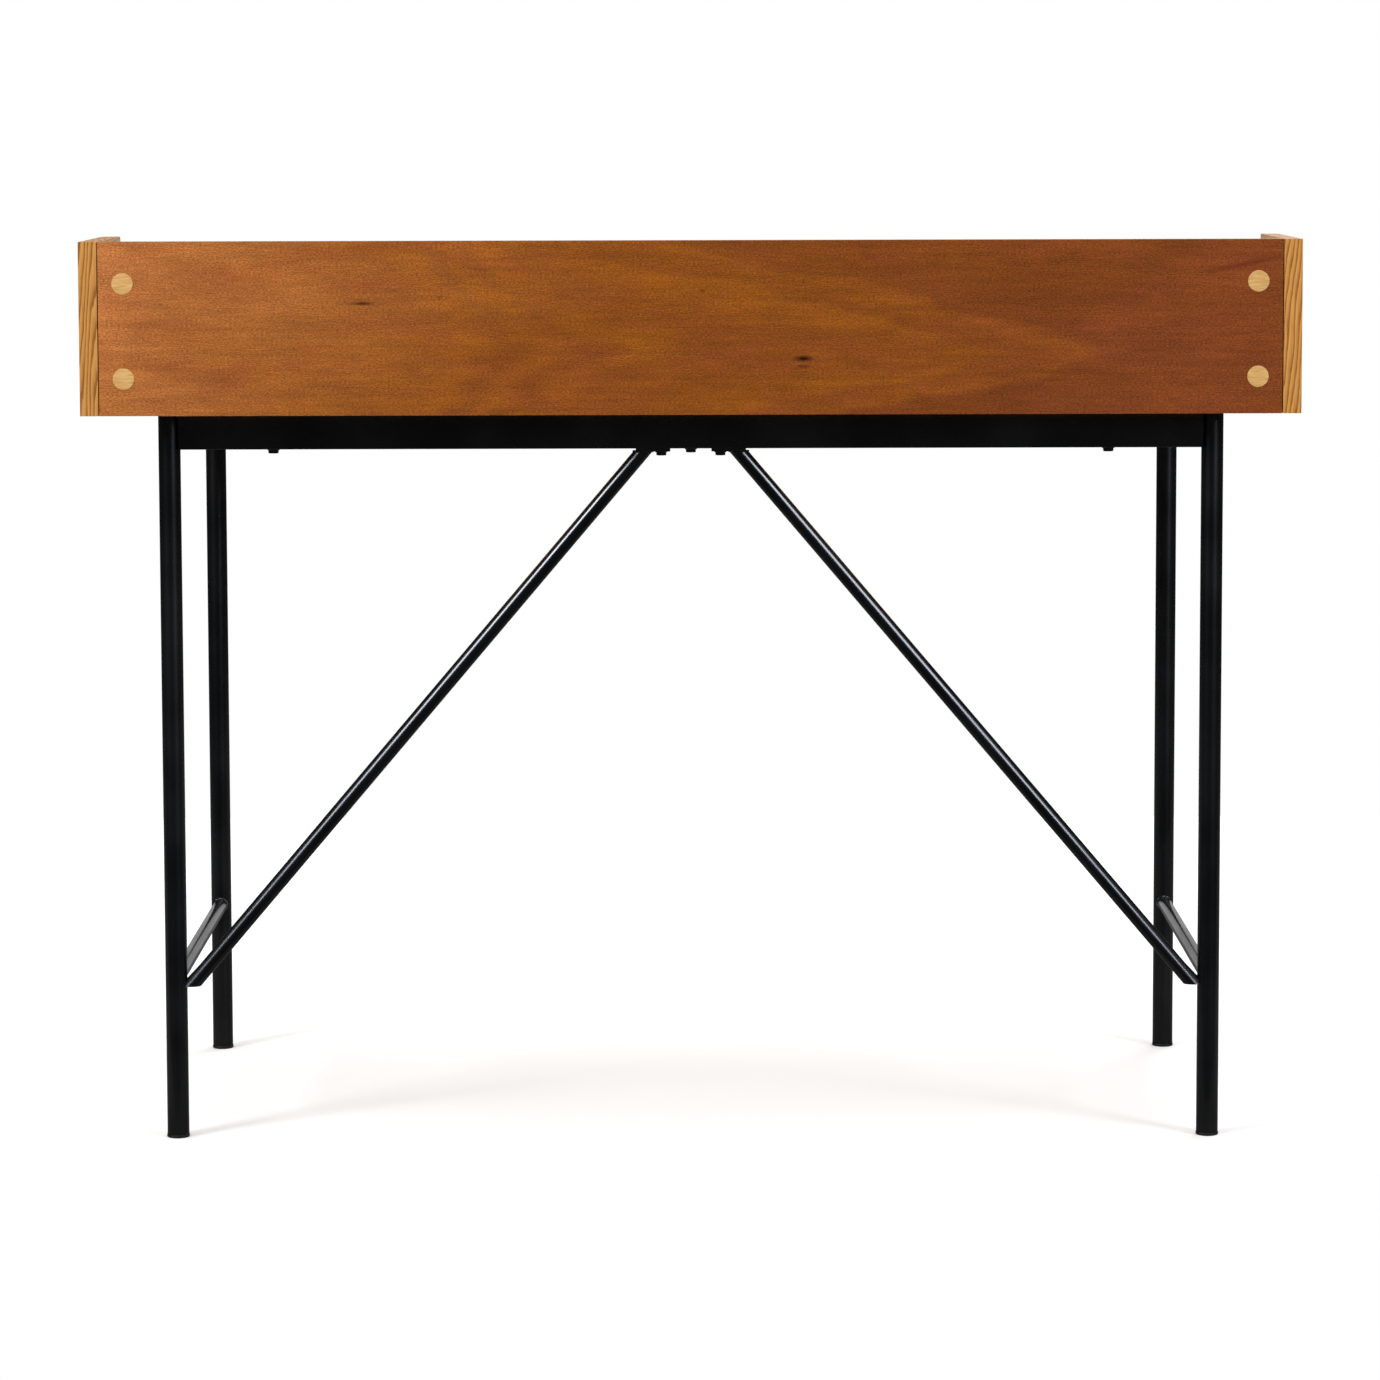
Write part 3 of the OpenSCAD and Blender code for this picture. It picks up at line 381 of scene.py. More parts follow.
def powder_coat(name, colour, roughness, peel):
    """Powder-coated steel, semi-gloss black: a fine orange peel with faint dust and rubs in its gloss."""
    mat, tree, shader = material(name, Roughness=roughness, IOR=1.5, Specular_IOR_Level=0.48)
    place = add(tree, "TexCoord").outputs["Object"]
    # Orange peel has waves about 2.4 mm across and a few thousandths of a millimetre high; rubs are 70 mm
    waves = add(tree, "TexNoise", {"Vector": place, "Scale": 420.0, "Detail": 1.0})
    rubs = add(tree, "TexNoise", {"Vector": place, "Scale": 14.0, "Detail": 2.0, "Roughness": 0.5})
    glossy, rubbed = roughness - 0.02, roughness + 0.03
    rough = add(tree, "MapRange", {"Value": rubs, **MOST, "To Min": glossy, "To Max": rubbed})
    dust = add(tree, "ValToRGB", {"Fac": rubs}, stops=[(0.4, colour), (0.85, "#0F1012")])
    bump = add(tree, "Bump", {"Height": waves, "Strength": 0.6, "Distance": peel})
    set_shader(tree, shader, Base_Color=dust, Roughness=rough, Normal=bump)
    return mat


def moulded_plastic(name, colour, light, roughness):
    """Injection-moulded plastic with a fine spark-eroded grain and faint scuffs."""
    mat, tree, shader = material(name, Roughness=roughness, IOR=1.48)
    place = add(tree, "TexCoord").outputs["Object"]
    # Sparks are half a millimetre across, and scuffs 8 mm
    sparks = add(tree, "TexNoise", {"Vector": place, "Scale": 2200.0, "Detail": 2.0})
    scuffs = add(tree, "TexNoise", {"Vector": place, "Scale": 120.0, "Detail": 5.0})
    tone = add(tree, "ValToRGB", {"Fac": scuffs}, stops=[(0.4, colour), (0.8, light)])
    bump = add(tree, "Bump", {"Height": sparks, "Strength": 0.5, "Distance": 0.04 * MM})
    set_shader(tree, shader, Base_Color=tone, Normal=bump)
    return mat


def zinc_plate(name):
    """Bright zinc-plated or die-cast fittings: grey metal with a gloss mottled in spots 4 mm across."""
    mat, tree, shader = material(name, Metallic=1.0, Roughness=0.35)
    place = add(tree, "TexCoord").outputs["Object"]
    mottle = add(tree, "TexNoise", {"Vector": place, "Scale": 260.0, "Detail": 4.0})
    tone = add(tree, "ValToRGB", {"Fac": mottle}, stops=[(0.3, "#9A9C9F"), (0.7, "#C9CBCE")])
    rough = add(tree, "MapRange", {"Value": mottle, "To Min": 0.22, "To Max": 0.5})
    set_shader(tree, shader, Base_Color=tone, Roughness=rough)
    return mat


# On the faces, rings are 6 mm apart at 45 mm from the middle of an arch. The edge bands are cut to one
# side of the heart, so their rings are 3 to 6 mm apart and nearly straight
FACE_CUT = {
    "leaf": 0.17,
    "heart": (-0.75, -0.3),
    "rings_per_m2": 1900.0,
    "arches_per_m": 9.0,
    "waver_per_m": (2.6, 15, 1),
    "waver_rings": 4.2,
}
BAND_CUT = {
    "leaf": 0.05,
    "heart": (0.4, 0.6),
    "rings_per_m2": 2100.0,
    "arches_per_m": 19.0,
    "waver_per_m": (8, 70, 1),
    "waver_rings": 3.2,
}
OAK = [oak_veneer(f"oak veneer {i}", "#A06C30", "#C69654", 0.9 * i + 0.31, **FACE_CUT) for i in range(5)]
OAK_BAND = [
    oak_veneer(f"oak edge band {i}", "#9C5C1D", "#D2974C", 1.37 * i + 0.2, **BAND_CUT) for i in range(3)
]
OKOUME = okoume_plywood("okoume plywood face", True)
OKOUME_INNER = okoume_plywood("okoume plywood inner face", False)
OKOUME_EDGE = plywood_edge("okoume plywood edge", "#B98A62", "#8A5A3A", 3 * MM, PANEL_LOW.y)
BIRCH = plain_wood("birch plywood", "#CDAA7C", "#E2C69B")
BIRCH_EDGE = plywood_edge("birch plywood edge", "#D9BB8E", "#B08B5E", 1.4 * MM, 0.0)
BEECH = plain_wood("beech dowel", "#C79C6E", "#DDB88C")
MAPLE_FOIL = maple_foil("maple foil cap")
BLACK_STEEL = powder_coat("powder-coated steel", "#040506", 0.23, 0.004 * MM)
BLACK_ZINC = powder_coat("black zinc-plated steel", "#0A0A0C", 0.30, 0.01 * MM)
BLACK_LACQUER = powder_coat("black lacquered zinc", "#08080A", 0.24, 0.01 * MM)
FOOT_PLASTIC = moulded_plastic("moulded polyethylene foot", "#0B0B0C", "#1C1C1D", 0.5)
NYLON = moulded_plastic("natural nylon", "#D8D4C8", "#E6E3DA", 0.38)
RUBBER = moulded_plastic("black rubber", "#141414", "#262626", 0.75)
ZINC = zinc_plate("zinc plate")


# ---------------------------------------------------------------- meshes


def finish_mesh(name, mesh, mats, smooth_below):
    """An object with that mesh and those materials. Edges flatter than smooth_below degrees shade smooth."""
    for mat in mats:
        mesh.materials.append(mat)
    mesh.shade_smooth()
    mesh.set_sharp_from_angle(angle=math.radians(smooth_below))
    piece = bpy.data.objects.new(name, mesh)
    bpy.context.scene.collection.objects.link(piece)
    return piece


def grid_faces(rows, cols, wrap_rows, wrap_cols, start=0):
    """Quads of a grid of points, joined end to end where it wraps."""
    r = np.arange(rows if wrap_rows else rows - 1)
    c = np.arange(cols if wrap_cols else cols - 1)
    r, c = [a.ravel() for a in np.meshgrid(r, c, indexing="ij")]
    r2, c2 = (r + 1) % rows, (c + 1) % cols
    return start + np.stack([r * cols + c, r * cols + c2, r2 * cols + c2, r2 * cols + c], axis=1)


def surface(name, grids, mats, wrap_rows=True, wrap_cols=True, smooth_below=40):
    """One piece from one or more grids of points (rows, columns, 3). Points that fall together, as at a
    pole, are merged, and the faces are turned outwards."""
    points, faces, start = [], [], 0
    for grid in grids:
        rows, cols, _ = grid.shape
        points.append(grid.reshape(-1, 3))
        faces.append(grid_faces(rows, cols, wrap_rows, wrap_cols, start))
        start += rows * cols
    mesh = bpy.data.meshes.new(name)
    mesh.from_pydata(np.concatenate(points).tolist(), [], np.concatenate(faces).tolist())
    shape = bmesh.new()
    shape.from_mesh(mesh)
    bmesh.ops.remove_doubles(shape, verts=shape.verts, dist=SAME_POINT)
    bmesh.ops.recalc_face_normals(shape, faces=shape.faces)
    shape.to_mesh(mesh)
    shape.free()
    return finish_mesh(name, mesh, mats, smooth_below)


def place(piece, node):
    """Shows a piece in the place of a CAD node, on its body, and hides the node."""
    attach(piece, BODY_OF[node])
    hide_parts(node)
    return piece


def turned(profile, centre, axis="Z", steps=64):
    """A grid made by carrying a profile of (radius, height) points round an axis through the centre."""
    profile = np.asarray(profile, float)
    angle = np.linspace(0, 2 * np.pi, steps, endpoint=False)
    radius, height = profile[:, :1], profile[:, 1:]
    one = radius * np.cos(angle)
    two = radius * np.sin(angle)
    along = height + 0 * angle
    order = {"Z": (one, two, along), "-Y": (one, -along, two), "Y": (one, along, two)}[axis]
    return np.stack(order, axis=-1) + np.asarray(centre, float)


def arc(centre, radius, start, end, steps):
    """Points (radius, height) of an arc about a centre, from one angle in degrees to another."""
    angle = np.radians(np.linspace(start, end, steps))
    return np.stack([centre[0] + radius * np.cos(angle), centre[1] + radius * np.sin(angle)], axis=1)


# ---------------------------------------------------------------- boards


def values_of(items, name, width, kind=np.float32):
    """One property of a mesh's points, faces or corners, as rows of numbers."""
    values = np.empty(len(items) * width, kind)
    items.foreach_get(name, values)
    return values.reshape(-1, width)


def grain_uv(mesh, along):
    """Gives each face a UV map in metres: two of its corners' coordinates, in the plane that it lies nearest
    to. The first runs along the grain's axis or, where a face looks along that axis, along the board's
    longer side. Where the grain is along Y, a face that doesn't look along X takes Y plus Z, for slopes."""
    points = values_of(mesh.vertices, "co", 3)
    corners = points[values_of(mesh.loops, "vertex_index", 1, np.int32)[:, 0]]
    facing = np.abs(values_of(mesh.polygons, "normal", 3)).argmax(axis=1)
    facing = np.repeat(facing, values_of(mesh.polygons, "loop_total", 1, np.int32)[:, 0])
    size = np.ptp(points, axis=0)
    uv = np.zeros((len(corners), 2), np.float32)
    for axis in (X, Y, Z):
        here = facing == axis
        in_plane = [a for a in (X, Y, Z) if a != axis]
        first = along if along in in_plane else max(in_plane, key=lambda a: size[a])
        uv[here, 0] = corners[here, first]
        uv[here, 1] = corners[here, sum(in_plane) - first]
        if along == Y and axis != X:
            uv[here, 0] = corners[here, Y] + corners[here, Z]
            uv[here, 1] = corners[here, X]
    mesh.uv_layers.new(name=GRAIN).data.foreach_set("uv", uv.ravel())


def board(node, along, face_mat, edge_mat=None, broad=None, inner_mat=None, ease=0.6 * MM):
    """A merged copy of a board with its edges eased, and with its grain along an axis. Faces that don't
    look along the broad axis take the edge material, and those that look backwards along it take the
    inner one."""
    corner = math.radians(50)  # edges sharper than this are eased
    shape = bmesh.new()
    shape.from_mesh(frame["nodes"][node].data)
    bmesh.ops.remove_doubles(shape, verts=shape.verts, dist=SAME_POINT)
    flat = {"angle_limit": math.radians(1), "delimit": {"NORMAL"}}
    bmesh.ops.dissolve_limit(shape, verts=shape.verts, edges=shape.edges, **flat)
    sharp = [e for e in shape.edges if len(e.link_faces) == 2 and e.calc_face_angle() > corner]
    rounded = {"offset": ease, "segments": 2, "profile": 0.5, "affect": "EDGES", "clamp_overlap": True}
    bmesh.ops.bevel(shape, geom=sharp, **rounded)
    mesh = bpy.data.meshes.new(node + "_board")
    shape.to_mesh(mesh)
    shape.free()
    grain_uv(mesh, along)
    mats = [face_mat]
    if edge_mat:
        mats.append(edge_mat)
        normals = values_of(mesh.polygons, "normal", 3)
        index = (np.abs(normals).argmax(axis=1) != broad).astype(np.int32)
        if inner_mat:
            mats.append(inner_mat)
            index[(index == 0) & (normals[:, broad] < 0)] = 2
        mesh.polygons.foreach_set("material_index", index)
    return place(finish_mesh(node + "_board", mesh, mats, smooth_below=20), node)


board("side_panel_left", Y, OAK[0], OAK_BAND[0], broad=X)
board("side_panel_right", Y, OAK[1], OAK_BAND[1], broad=X)
board("back_panel", X, OKOUME, OKOUME_EDGE, broad=Y, inner_mat=OKOUME_INNER, ease=0.4 * MM)
board("desktop", X, OAK[2], OAK_BAND[2], broad=Z)
board("gallery_shelf", X, OAK[3], OAK_BAND[0], broad=Z)
for side, front in zip(SIDES, (OAK[0], OAK[3])):
    board(f"divider_{side}", Z, OAK[4], OAK_BAND[1], broad=X)
    board(f"drawer_{side}_front", X, front, OAK_BAND[2], broad=Y)
    for wall in ("side_outer", "side_inner"):
        board(f"drawer_{side}_{wall}", Y, BIRCH, BIRCH_EDGE, broad=X, ease=0.5 * MM)
    board(f"drawer_{side}_back", X, BIRCH, BIRCH_EDGE, broad=Y, ease=0.5 * MM)
    board(f"drawer_{side}_bottom", X, BIRCH, BIRCH_EDGE, broad=Z, ease=0.3 * MM)
    board(f"drawer_{side}_dowels", Y, BEECH, ease=0.4 * MM)
board("drawer_stops", X, BIRCH, ease=0.5 * MM)
board("divider_dowels", Z, BEECH, ease=0.4 * MM)
board("back_panel_dowels", Y, BEECH, ease=0.4 * MM)


# ---------------------------------------------------------------- tubes and rails

ANGLES = np.linspace(0, 2 * np.pi, 64, endpoint=False)


def leg_face(offset):
    """How far from a leg's axis its outer face is, at a sideways offset from that axis."""
    return np.sqrt(np.maximum(LEG_R**2 - np.asarray(offset) ** 2, 0))


def shell(outer_start, outer_end, inner_start, inner_end):
    """A closed tube wall: its rows run along the outside, then back along the inside."""
    return np.stack([outer_start, outer_end, inner_end, inner_start])


def leg(name, x, y):
    """A round tube from the foot to the case, with its cut ends eased by half a millimetre."""
    ease = 0.5 * MM
    inner = LEG_R - LEG_WALL
    profile = [
        (LEG_R - ease, FOOT_H),
        (LEG_R, FOOT_H + ease),
        (LEG_R, FRAME_TOP - ease),
        (LEG_R - ease, FRAME_TOP),
        (inner, FRAME_TOP),
        (inner, FOOT_H),
    ]
    return place(surface(name + "_tube", [turned(profile, (x, y, 0))], [BLACK_STEEL], smooth_below=30), name)


def stretcher(name, x):
    """A round tube between two legs, each end coped to the leg's curve."""

    def loop(radius, end):
        across, up = radius * np.cos(ANGLES), radius * np.sin(ANGLES)
        return np.stack([x + across, end * (LEG_Y - leg_face(across)), STRETCHER_Z + up], axis=1)

    grid = shell(*[loop(radius, end) for radius in (ROD_R, ROD_R - ROD_WALL) for end in ENDS])
    return place(surface(name + "_tube", [grid], [BLACK_STEEL]), name)


def rounded_rect(width, height, radius):
    """Points round a rectangle with rounded corners, centred on zero: a quarter arc at each corner."""
    steps = 6
    corners = [(1, 1, 0), (-1, 1, 90), (-1, -1, 180), (1, -1, 270)]
    centres = [(sx * (width / 2 - radius), sy * (height / 2 - radius)) for sx, sy, _ in corners]
    turns = [start for _, _, start in corners]
    return np.concatenate([arc(c, radius, a, a + 90, steps) for c, a in zip(centres, turns)])


def rail_grid(low, high, runs_along_x, ends):
    """A rectangular tube with rounded corners. The ends function gives, for each sideways offset from the
    rail's middle, how far from the desk's middle the end lies."""
    outer_radius, inner_radius = 1.8 * MM, 0.6 * MM
    cross, run = (Y, X) if runs_along_x else (X, Y)
    mid = (low + high) / 2
    width, height = high[cross] - low[cross], high.z - low.z

    def loop(shrink, radius, sign):
        section = rounded_rect(width - 2 * shrink, height - 2 * shrink, radius)
        points = np.zeros((len(section), 3))
        points[:, cross] = mid[cross] + section[:, 0]
        points[:, Z] = mid.z + section[:, 1]
        points[:, run] = sign * ends(section[:, 0])
        return points

    outside = [loop(0, outer_radius, end) for end in ENDS]
    inside = [loop(RAIL_WALL, inner_radius, end) for end in ENDS]
    return shell(*outside, *inside)


def long_rail(node):
    """The front or rear rail, coped to the legs."""
    low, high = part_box(node)
    grid = rail_grid(low, high, True, lambda offset: np.minimum(LEG_X - leg_face(offset), RAIL_END_X))
    return place(surface(node + "_tube", [grid], [BLACK_STEEL]), node)


def side_rail(node):
    """A side rail, coped to the front and rear legs."""
    low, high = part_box(node)
    grid = rail_grid(low, high, False, lambda offset: LEG_Y - leg_face(offset))
    return place(surface(node + "_tube", [grid], [BLACK_STEEL]), node)


def brace_frame(side):
    """A brace's foot, its direction and two directions across it, for one side."""
    foot = np.array([side * BRACE_FOOT_X, LEG_Y, BRACE_CUT_Z])
    run = np.array([side * BRACE_AXIS.x, 0.0, BRACE_AXIS.z])
    across = np.array([run[2], 0.0, -run[0]])
    return foot, run, across, np.array([0.0, 1.0, 0.0])


def brace(node, side):
    """A round tube cut level at both ends, and coped where its foot meets the leg."""
    foot, run, across, deep = brace_frame(side)

    def line(radius):
        return foot + radius * (np.cos(ANGLES)[:, None] * across + np.sin(ANGLES)[:, None] * deep)

    def cut_at(points, z):
        return points + ((z - points[:, 2]) / run[2])[:, None] * run

    def lower(points):
        level = cut_at(points, BRACE_CUT_Z)
        face = LEG_X - leg_face(points[:, 1] - LEG_Y)
        past = np.maximum(side * level[:, 0] - face, 0)
        return level + (past / abs(run[0]))[:, None] * run

    outer, inner = line(ROD_R), line(ROD_R - ROD_WALL)
    grid = shell(lower(outer), cut_at(outer, TAB_Z), lower(inner), cut_at(inner, TAB_Z))
    return place(surface(node + "_tube", [grid], [BLACK_STEEL]), node)


for side, sign in SIDES.items():
    leg(f"leg_front_{side}", sign * LEG_X, -LEG_Y)
    leg(f"leg_rear_{side}", sign * LEG_X, LEG_Y)
    stretcher(f"stretcher_{side}", sign * LEG_X)
    side_rail(f"side_rail_{side}")
    brace(f"brace_{side}", sign)
for node in ("front_rail", "rear_rail"):
    long_rail(node)


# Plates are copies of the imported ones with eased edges
PLATES = [f"brace_{plate}_{side}" for side in SIDES for plate in ("tab", "lug")] + ["rail_brackets"]
for node in PLATES:
    board(node, X, BLACK_STEEL, ease=0.4 * MM)


# ---------------------------------------------------------------- welds


def weld_bead(path, normals, radius, ripples):
    """A weld bead: a round rope along a closed path, its radius swelling once for each ripple. The normals
    are one direction across the path at each point, and the other direction is worked out from it."""
    ahead = np.roll(path, -1, 0) - np.roll(path, 1, 0)
    ahead /= np.linalg.norm(ahead, axis=1)[:, None]
    normals = normals - np.sum(normals * ahead, axis=1)[:, None] * ahead
    normals /= np.linalg.norm(normals, axis=1)[:, None]
    other = np.cross(ahead, normals)
    turn = np.linspace(0, 2 * np.pi, 12, endpoint=False)[None, :, None]
    waves = np.sin(np.linspace(0, 2 * np.pi * ripples, len(path), endpoint=False))
    swell = radius * (1 + 0.13 * waves)[:, None, None]
    return path[:, None] + swell * (np.cos(turn) * normals[:, None] + np.sin(turn) * other[:, None])


def stretcher_welds():
    """Beads round the ends of both stretchers, where the rods meet the legs."""
    turn = np.linspace(0, 2 * np.pi, 132, endpoint=False)
    across, up = ROD_R * np.cos(turn), ROD_R * np.sin(turn)
    out = np.stack([np.cos(turn), 0 * turn, np.sin(turn)], axis=1)
    beads = []
    for side in SIDES.values():
        for end in ENDS:
            meets_leg = end * (LEG_Y - leg_face(across))
            path = np.stack([side * LEG_X + across, meets_leg, STRETCHER_Z + up], axis=1)
            beads.append(weld_bead(path, out, 1.4 * MM, 22))
    return beads


def brace_tab_welds():
    """Beads where the braces meet their tabs: level ovals at the upper cut."""
    turn = np.linspace(0, 2 * np.pi, 120, endpoint=False)
    up = np.tile([0.0, 0.0, 1.0], (len(turn), 1))
    height = TAB_Z - 0.2 * MM
    beads = []
    for side in SIDES.values():
        foot, run, across, deep = brace_frame(side)
        ring = foot + ROD_R * (np.cos(turn)[:, None] * across + np.sin(turn)[:, None] * deep)
        ring = ring + ((height - ring[:, 2]) / run[2])[:, None] * run
        beads.append(weld_bead(ring, up, 0.9 * MM, 20))
    return beads


welds = surface("weld_beads", stretcher_welds() + brace_tab_welds(), [BLACK_STEEL], smooth_below=60)
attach(welds, BODY_OF["leg_rear_left"])


# ---------------------------------------------------------------- feet, caps, knobs and bolts


def foot(node):
    """A moulded foot: a flared rim with a soft lower edge, a shallow hollow under it and a ribbed plug."""
    low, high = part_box(node)
    centre = ((low.x + high.x) / 2, (low.y + high.y) / 2, 0)
    rim = (high.x - low.x) / 2
    plug = LEG_R - LEG_WALL - 0.1 * MM
    hollow, edge, chamfer = 0.5 * MM, 0.9 * MM, 0.4 * MM
    rib_depth, rib_pitch, rib_count, first_rib = 0.6 * MM, 1.5 * MM, 8, FOOT_H + 2 * MM
    ribs = [(plug - rib_depth * (i % 2), first_rib + i * rib_pitch) for i in range(rib_count)]
    profile = np.concatenate(
        [
            [(0, hollow), (rim - 4.5 * MM, hollow), (rim - 4 * MM, 0)],
            arc((rim - edge, edge), edge, -90, 0, 7),
            [(rim, FOOT_H - chamfer), (rim - chamfer, FOOT_H), (plug, FOOT_H)],
            ribs,
            [(plug - 1 * MM, high.z), (0, high.z)],
        ]
    )
    grid = turned(profile, centre)
    return place(surface(node + "_cap", [grid], [FOOT_PLASTIC], wrap_rows=False, smooth_below=50), node)


def cover_caps():
    """Thin round caps stuck over the cam locks, slightly crowned, with a rounded rim."""
    node = "cam_cover_caps"
    low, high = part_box(node)
    thick = high.y - low.y
    radius, rim, rim_start = 10.5 * MM, 0.22 * MM, 0.4 * thick
    edge_share = 0.955  # the crown's height at its edge, as a share of the cap's
    xs, zs = (low.x + radius, high.x - radius), (low.z + radius, high.z - radius)
    crown = [(radius * f, thick * (edge_share + (1 - edge_share) * (1 - f * f))) for f in (0.93, 0.7, 0.4, 0)]
    profile = np.concatenate(
        [
            [(0, 0), (radius, 0), (radius, rim_start)],
            arc((radius - rim, rim_start), rim, 0, 90, 5),
            crown,
        ]
    )
    grids = [turned(profile, (x, low.y, z), axis="Y") for x in xs for z in zs]
    return place(surface(node + "_foil", grids, [MAPLE_FOIL], wrap_rows=False, smooth_below=30), node)


def knob(node):
    """A turned knob: a small base, a waist that sweeps out in a curve, and a flat head with a soft rim."""
    low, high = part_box(node)
    centre = ((low.x + high.x) / 2, high.y, (low.z + high.z) / 2)
    radius, length = (high.x - low.x) / 2, high.y - low.y
    base_r, base_edge, fillet, rim = 6.3 * MM, 0.7 * MM, 2.5 * MM, 2.6 * MM
    head_start, dish = 17.5 * MM, 0.35 * MM
    # The waist's radius grows with a power of the way along it, from 5 mm to just inside the head
    sweep = np.linspace(0, 1, 14)
    waist = np.stack([(5 + (radius / MM - 5.3) * sweep**2.2) * MM, (6 + 10 * sweep) * MM], axis=1)
    profile = np.concatenate(
        [
            [(0, 0), (6.6 * MM, 0)],
            arc((base_r, base_edge), base_edge, -60, 60, 6),
            arc((7.4 * MM, 4.6 * MM), fillet, 250, 180, 7),
            waist,
            [(radius, head_start)],
            arc((radius - rim, length - rim), rim, 0, 90, 9),
            [(radius * 0.5, length - 0.25 * MM), (0, length - dish)],
        ]
    )
    grid = turned(profile, centre, axis="-Y")
    return place(surface(node + "_turned", [grid], [BLACK_LACQUER], wrap_rows=False, smooth_below=45), node)


for side in SIDES:
    foot(f"foot_front_{side}")
    foot(f"foot_rear_{side}")
    knob(f"drawer_{side}_knob")
cover_caps()


FLANGE_R = 6.5 * MM


def flange_bolt(base, direction, length):
    """A flanged hexagon bolt: at each height its radius is the smaller of a hexagon and a chamfer cone,
    then a sloped flange, then a plain shank. The direction runs from the head to the shank."""
    flat, head, flange, shank = 5 * MM, 3 * MM, 1.3 * MM, 3 * MM
    cone_start, cone_slope = 4.5 * MM, 1.7
    angle = np.linspace(0, 2 * np.pi, 72, endpoint=False)
    hexagon = flat / np.cos((angle + np.pi / 6) % (np.pi / 3) - np.pi / 6)
    top = -(head + flange)
    rows = [(top, 0 * angle)]
    for height in np.linspace(top, -flange, 9):
        rows.append((height, np.minimum(hexagon, cone_start + cone_slope * (height - top))))
    rim = [(-flange, 5.9 * MM), (-0.35 * MM, 6.4 * MM), (-0.1 * MM, FLANGE_R), (0, 6.4 * MM)]
    for height, radius in [*rim, (0, shank), (length, shank), (length, 0)]:
        rows.append((height, 0 * angle + radius))
    heights = np.array([height for height, _ in rows])[:, None] + 0 * angle
    radii = np.array([radius for _, radius in rows])
    local = np.stack([radii * np.cos(angle), radii * np.sin(angle), heights], axis=2)
    turn = Vector(direction).to_track_quat("Z", "X").to_matrix()
    return local @ np.array(turn).T + np.asarray(base, float)


def bolt_heads(node, grids):
    """A group of bolts as one piece, in the place of its node."""
    return place(surface(node + "_heads", grids, [BLACK_ZINC], wrap_rows=False, smooth_below=28), node)


def case_bolts():
    """Bolts up through the front and rear rails, in two rows of three."""
    node = "case_bolts"
    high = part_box(node)[1]
    reach = high.x - FLANGE_R
    bases = [(x, end * LEG_Y, RAIL_Z) for x in (-reach, 0, reach) for end in ENDS]
    return bolt_heads(node, [flange_bolt(base, (0, 0, 1), high.z - RAIL_Z) for base in bases])


def bracket_bolts():
    """Pairs of bolts through each bracket into the rails."""
    node = "bracket_bolts"
    spacing, bracket_t = 25 * MM, 3 * MM
    low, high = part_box(node)
    plate_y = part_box("rail_brackets")[1].y
    mid_z = (low.z + high.z) / 2
    reach = high.x - FLANGE_R
    length = high.y - plate_y + bracket_t
    grids = [
        flange_bolt((side * x, end * (plate_y - bracket_t), mid_z), (0, end, 0), length)
        for side in SIDES.values()
        for end in ENDS
        for x in (reach, reach - spacing)
    ]
    return bolt_heads(node, grids)


def brace_bolts():
    """A flanged bolt up through each tab, and a domed socket-head bolt through each lug."""
    tab_x, tab_length = 29.5 * MM, 13 * MM
    lug_z = BRACE_CUT_Z + 14.5 * MM
    lug_x = BRACE_FOOT_X + BRACE_AXIS.x / BRACE_AXIS.z * (lug_z - BRACE_CUT_Z)
    head_r, head_h, shank, length = 4.75, 2.5, 2.5, 9
    socket = [(0, -1.1), (1.5, -1.1), (1.7, -2.7), (2.6, -2.7)]
    dome = [(head_r * math.sin(a), -(0.2 + head_h * math.cos(a))) for a in np.linspace(0.62, 1.57, 8)]
    button = np.array([*socket, *dome, (head_r, 0), (shank, 0), (shank, length), (0, length)]) * MM
    grids = [flange_bolt((side * tab_x, LEG_Y, TAB_Z), (0, 0, 1), tab_length) for side in SIDES.values()]
    for side in SIDES.values():
        grids.append(turned(button, (side * lug_x, LUG_Y, lug_z), axis="Y", steps=72))
    return bolt_heads("brace_bolts", grids)


case_bolts()
bracket_bolts()
brace_bolts()

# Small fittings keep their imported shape
FITTINGS = {
    ZINC: [
        "cam_locks",
        "cam_dowels",
        "divider_screws",
        "threaded_inserts",
        "rivet_nuts",
        "drawer_left_knob_screw",
        "drawer_right_knob_screw",
    ],
    NYLON: ["drawer_glides"],
    RUBBER: ["drawer_bumpers"],
}
for mat, nodes in FITTINGS.items():
    for node in nodes:
        fitting = frame["nodes"][node].data
        fitting.materials.clear()
        fitting.materials.append(mat)


# ---------------------------------------------------------------- studio


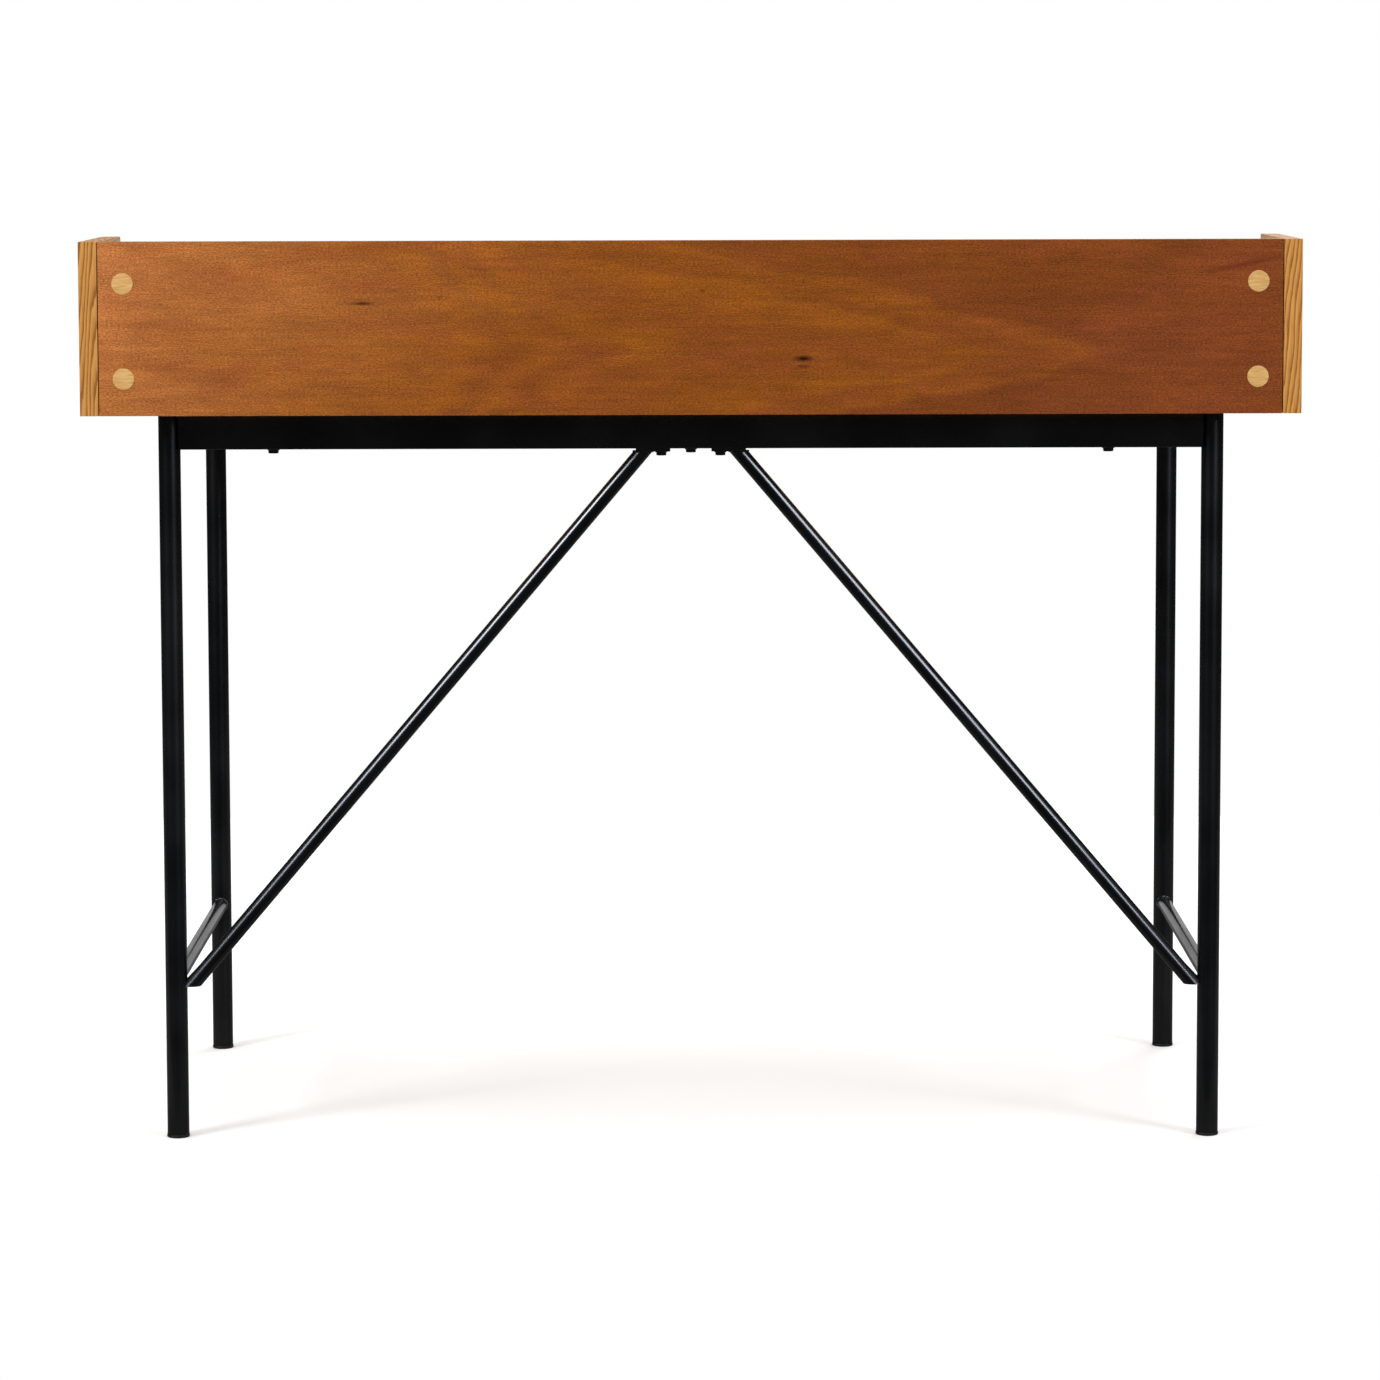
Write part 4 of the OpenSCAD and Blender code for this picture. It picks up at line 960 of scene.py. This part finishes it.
def studio_floor():
    """A pale floor, level with the feet. It is grey to polished surfaces, so that black gloss stays black,
    and has a faint glow to the eye, so that it runs into the backdrop."""
    x, y = np.meshgrid(np.linspace(-2.4, 2.4, 5), np.linspace(-1.9, 0.4, 5))
    grid = np.stack([x, y, 0 * x], axis=-1)
    mat, tree, shader = material("matt white studio board", Roughness=0.95, Specular_IOR_Level=0.1)
    coords = add(tree, "TexCoord")
    haze = add(tree, "TexNoise", {"Vector": coords.outputs["Object"], "Scale": 0.6, "Detail": 2.0})
    tone = add(tree, "ValToRGB", {"Fac": haze}, stops=[(0.3, "#F6F6F6"), (0.7, "#FAFAFA")])
    path = add(tree, "LightPath")
    glossy = path.outputs["Is Glossy Ray"]
    in_gloss = add(tree, "Mix", {"Factor": glossy, "A": tone, "B": linear("#6A6A6A")}, data_type="RGBA")
    glow = add(tree, "Math", {0: path.outputs["Is Camera Ray"], 1: 0.05}, operation="MULTIPLY")
    shader.inputs["Emission Color"].default_value = linear("#FFFFFF")
    set_shader(tree, shader, Base_Color=in_gloss, Emission_Strength=glow)
    floor = surface("studio_floor", [grid], [mat], wrap_rows=False, wrap_cols=False)


def soft_light(name, kind, location, target, power, size, colour="#FFFFFF", only=None):
    """An area light or a sun that looks at a target. Size is in metres, or in degrees for a sun. Where it is
    given pieces of its own, it is a gloss card: it shows only in the gloss of those pieces."""
    data = bpy.data.lights.new(name, kind)
    data.energy = power
    data.color = linear(colour)[:3]
    if kind == "SUN":
        data.angle = math.radians(size)
    else:
        data.shape = "RECTANGLE"
        data.size, data.size_y = size
    lamp = bpy.data.objects.new(name, data)
    lamp.location = location
    lamp.rotation_euler = (Vector(target) - Vector(location)).to_track_quat("-Z", "Y").to_euler()
    lamp.visible_camera = False
    if only:
        lamp.visible_diffuse = False
        lit = bpy.data.collections.new(name + "_pieces")
        for piece in only:
            lit.objects.link(piece)
        lamp.light_linking.receiver_collection = lit
    bpy.context.scene.collection.objects.link(lamp)


def surroundings(seen, soft, mirrored, backdrop):
    """A plain white backdrop to the eye and a soft glow all round on dull surfaces. In the gloss of
    polished ones it is a dark room with a bright wall on the sitter's side. The four values are the
    strengths of the backdrop, the glow, the dark room and the bright wall."""
    world = bpy.data.worlds.new("studio")
    bpy.context.scene.world = world
    world.use_nodes = True
    tree = world.node_tree
    tree.nodes.clear()
    path = add(tree, "LightPath")
    direction = add(tree, "TexCoord").outputs["Generated"]
    to_sitter = add(tree, "VectorMath", {0: direction, 1: (0, -1, 0)}, operation="DOT_PRODUCT")
    near = {"From Min": 0.95, "From Max": 0.985}  # from 18 to 10 degrees off straight towards the sitter
    facing = to_sitter.outputs["Value"]
    wall = add(tree, "MapRange", {"Value": facing, **near, "To Min": mirrored, "To Max": backdrop})
    room = add(tree, "Mix", {"Factor": path.outputs["Is Glossy Ray"], "A": soft, "B": wall})
    strength = add(tree, "Mix", {"Factor": path.outputs["Is Camera Ray"], "A": room, "B": seen})
    glow = add(tree, "Background", {"Color": (1, 1, 1, 1), "Strength": strength})
    add(tree, "OutputWorld", {"Surface": glow})


def rear_camera():
    """A long lens behind the desk, a little above its top and tilted down."""
    tilt_down, heading, roll = 5.44, 180.063, -0.152  # degrees
    data = bpy.data.cameras.new("camera")
    data.lens = 121.6
    data.sensor_width = 36
    data.shift_y = -0.10
    camera = bpy.data.objects.new("camera", data)
    camera.location = (-0.004, 4.872, 1.036)
    aim = Matrix.Identity(3)
    for angle, axis in ((heading, "Z"), (90 - tilt_down, "X"), (roll, "Z")):
        aim = aim @ Matrix.Rotation(math.radians(angle), 3, axis)
    camera.rotation_euler = aim.to_euler()
    bpy.context.scene.collection.objects.link(camera)
    bpy.context.scene.camera = camera


# Lights: a wide overhead sun and three soft boxes on everything, and two cool cards in the steel's gloss
studio_floor()
surroundings(seen=1.0, soft=0.68, mirrored=0.038, backdrop=1.0)
soft_light("overhead", "SUN", (0, 0, 4), (0, 0, 0), 1.05, 60)
soft_light("box_left", "AREA", (3.2, 2.7, 2.9), (0, 0.2, 0.5), 83, (1.0, 1.4), "#FFFDFA")
soft_light("box_right", "AREA", (-3.2, 2.7, 2.9), (0, 0.2, 0.5), 55, (1.0, 1.4), "#F4F7FF")
soft_light("box_front", "AREA", (-2.0, -3.6, 3.0), (0, 0, 0.6), 50, (1.8, 1.5))
steel = [piece for piece in bpy.context.scene.objects if BLACK_STEEL.name in piece.material_slots]
soft_light("card_left", "AREA", (3.0, 2.95, 2.6), (0.2, 0.2, 0.55), 190, (1.35, 1.8), "#E4EEFF", only=steel)
soft_light("card_right", "AREA", (-2.7, 3.5, 2.2), (-0.2, 0.2, 0.5), 205, (1.35, 2.1), "#E4EEFF", only=steel)
rear_camera()
bpy.context.scene.view_settings.view_transform = "Standard"
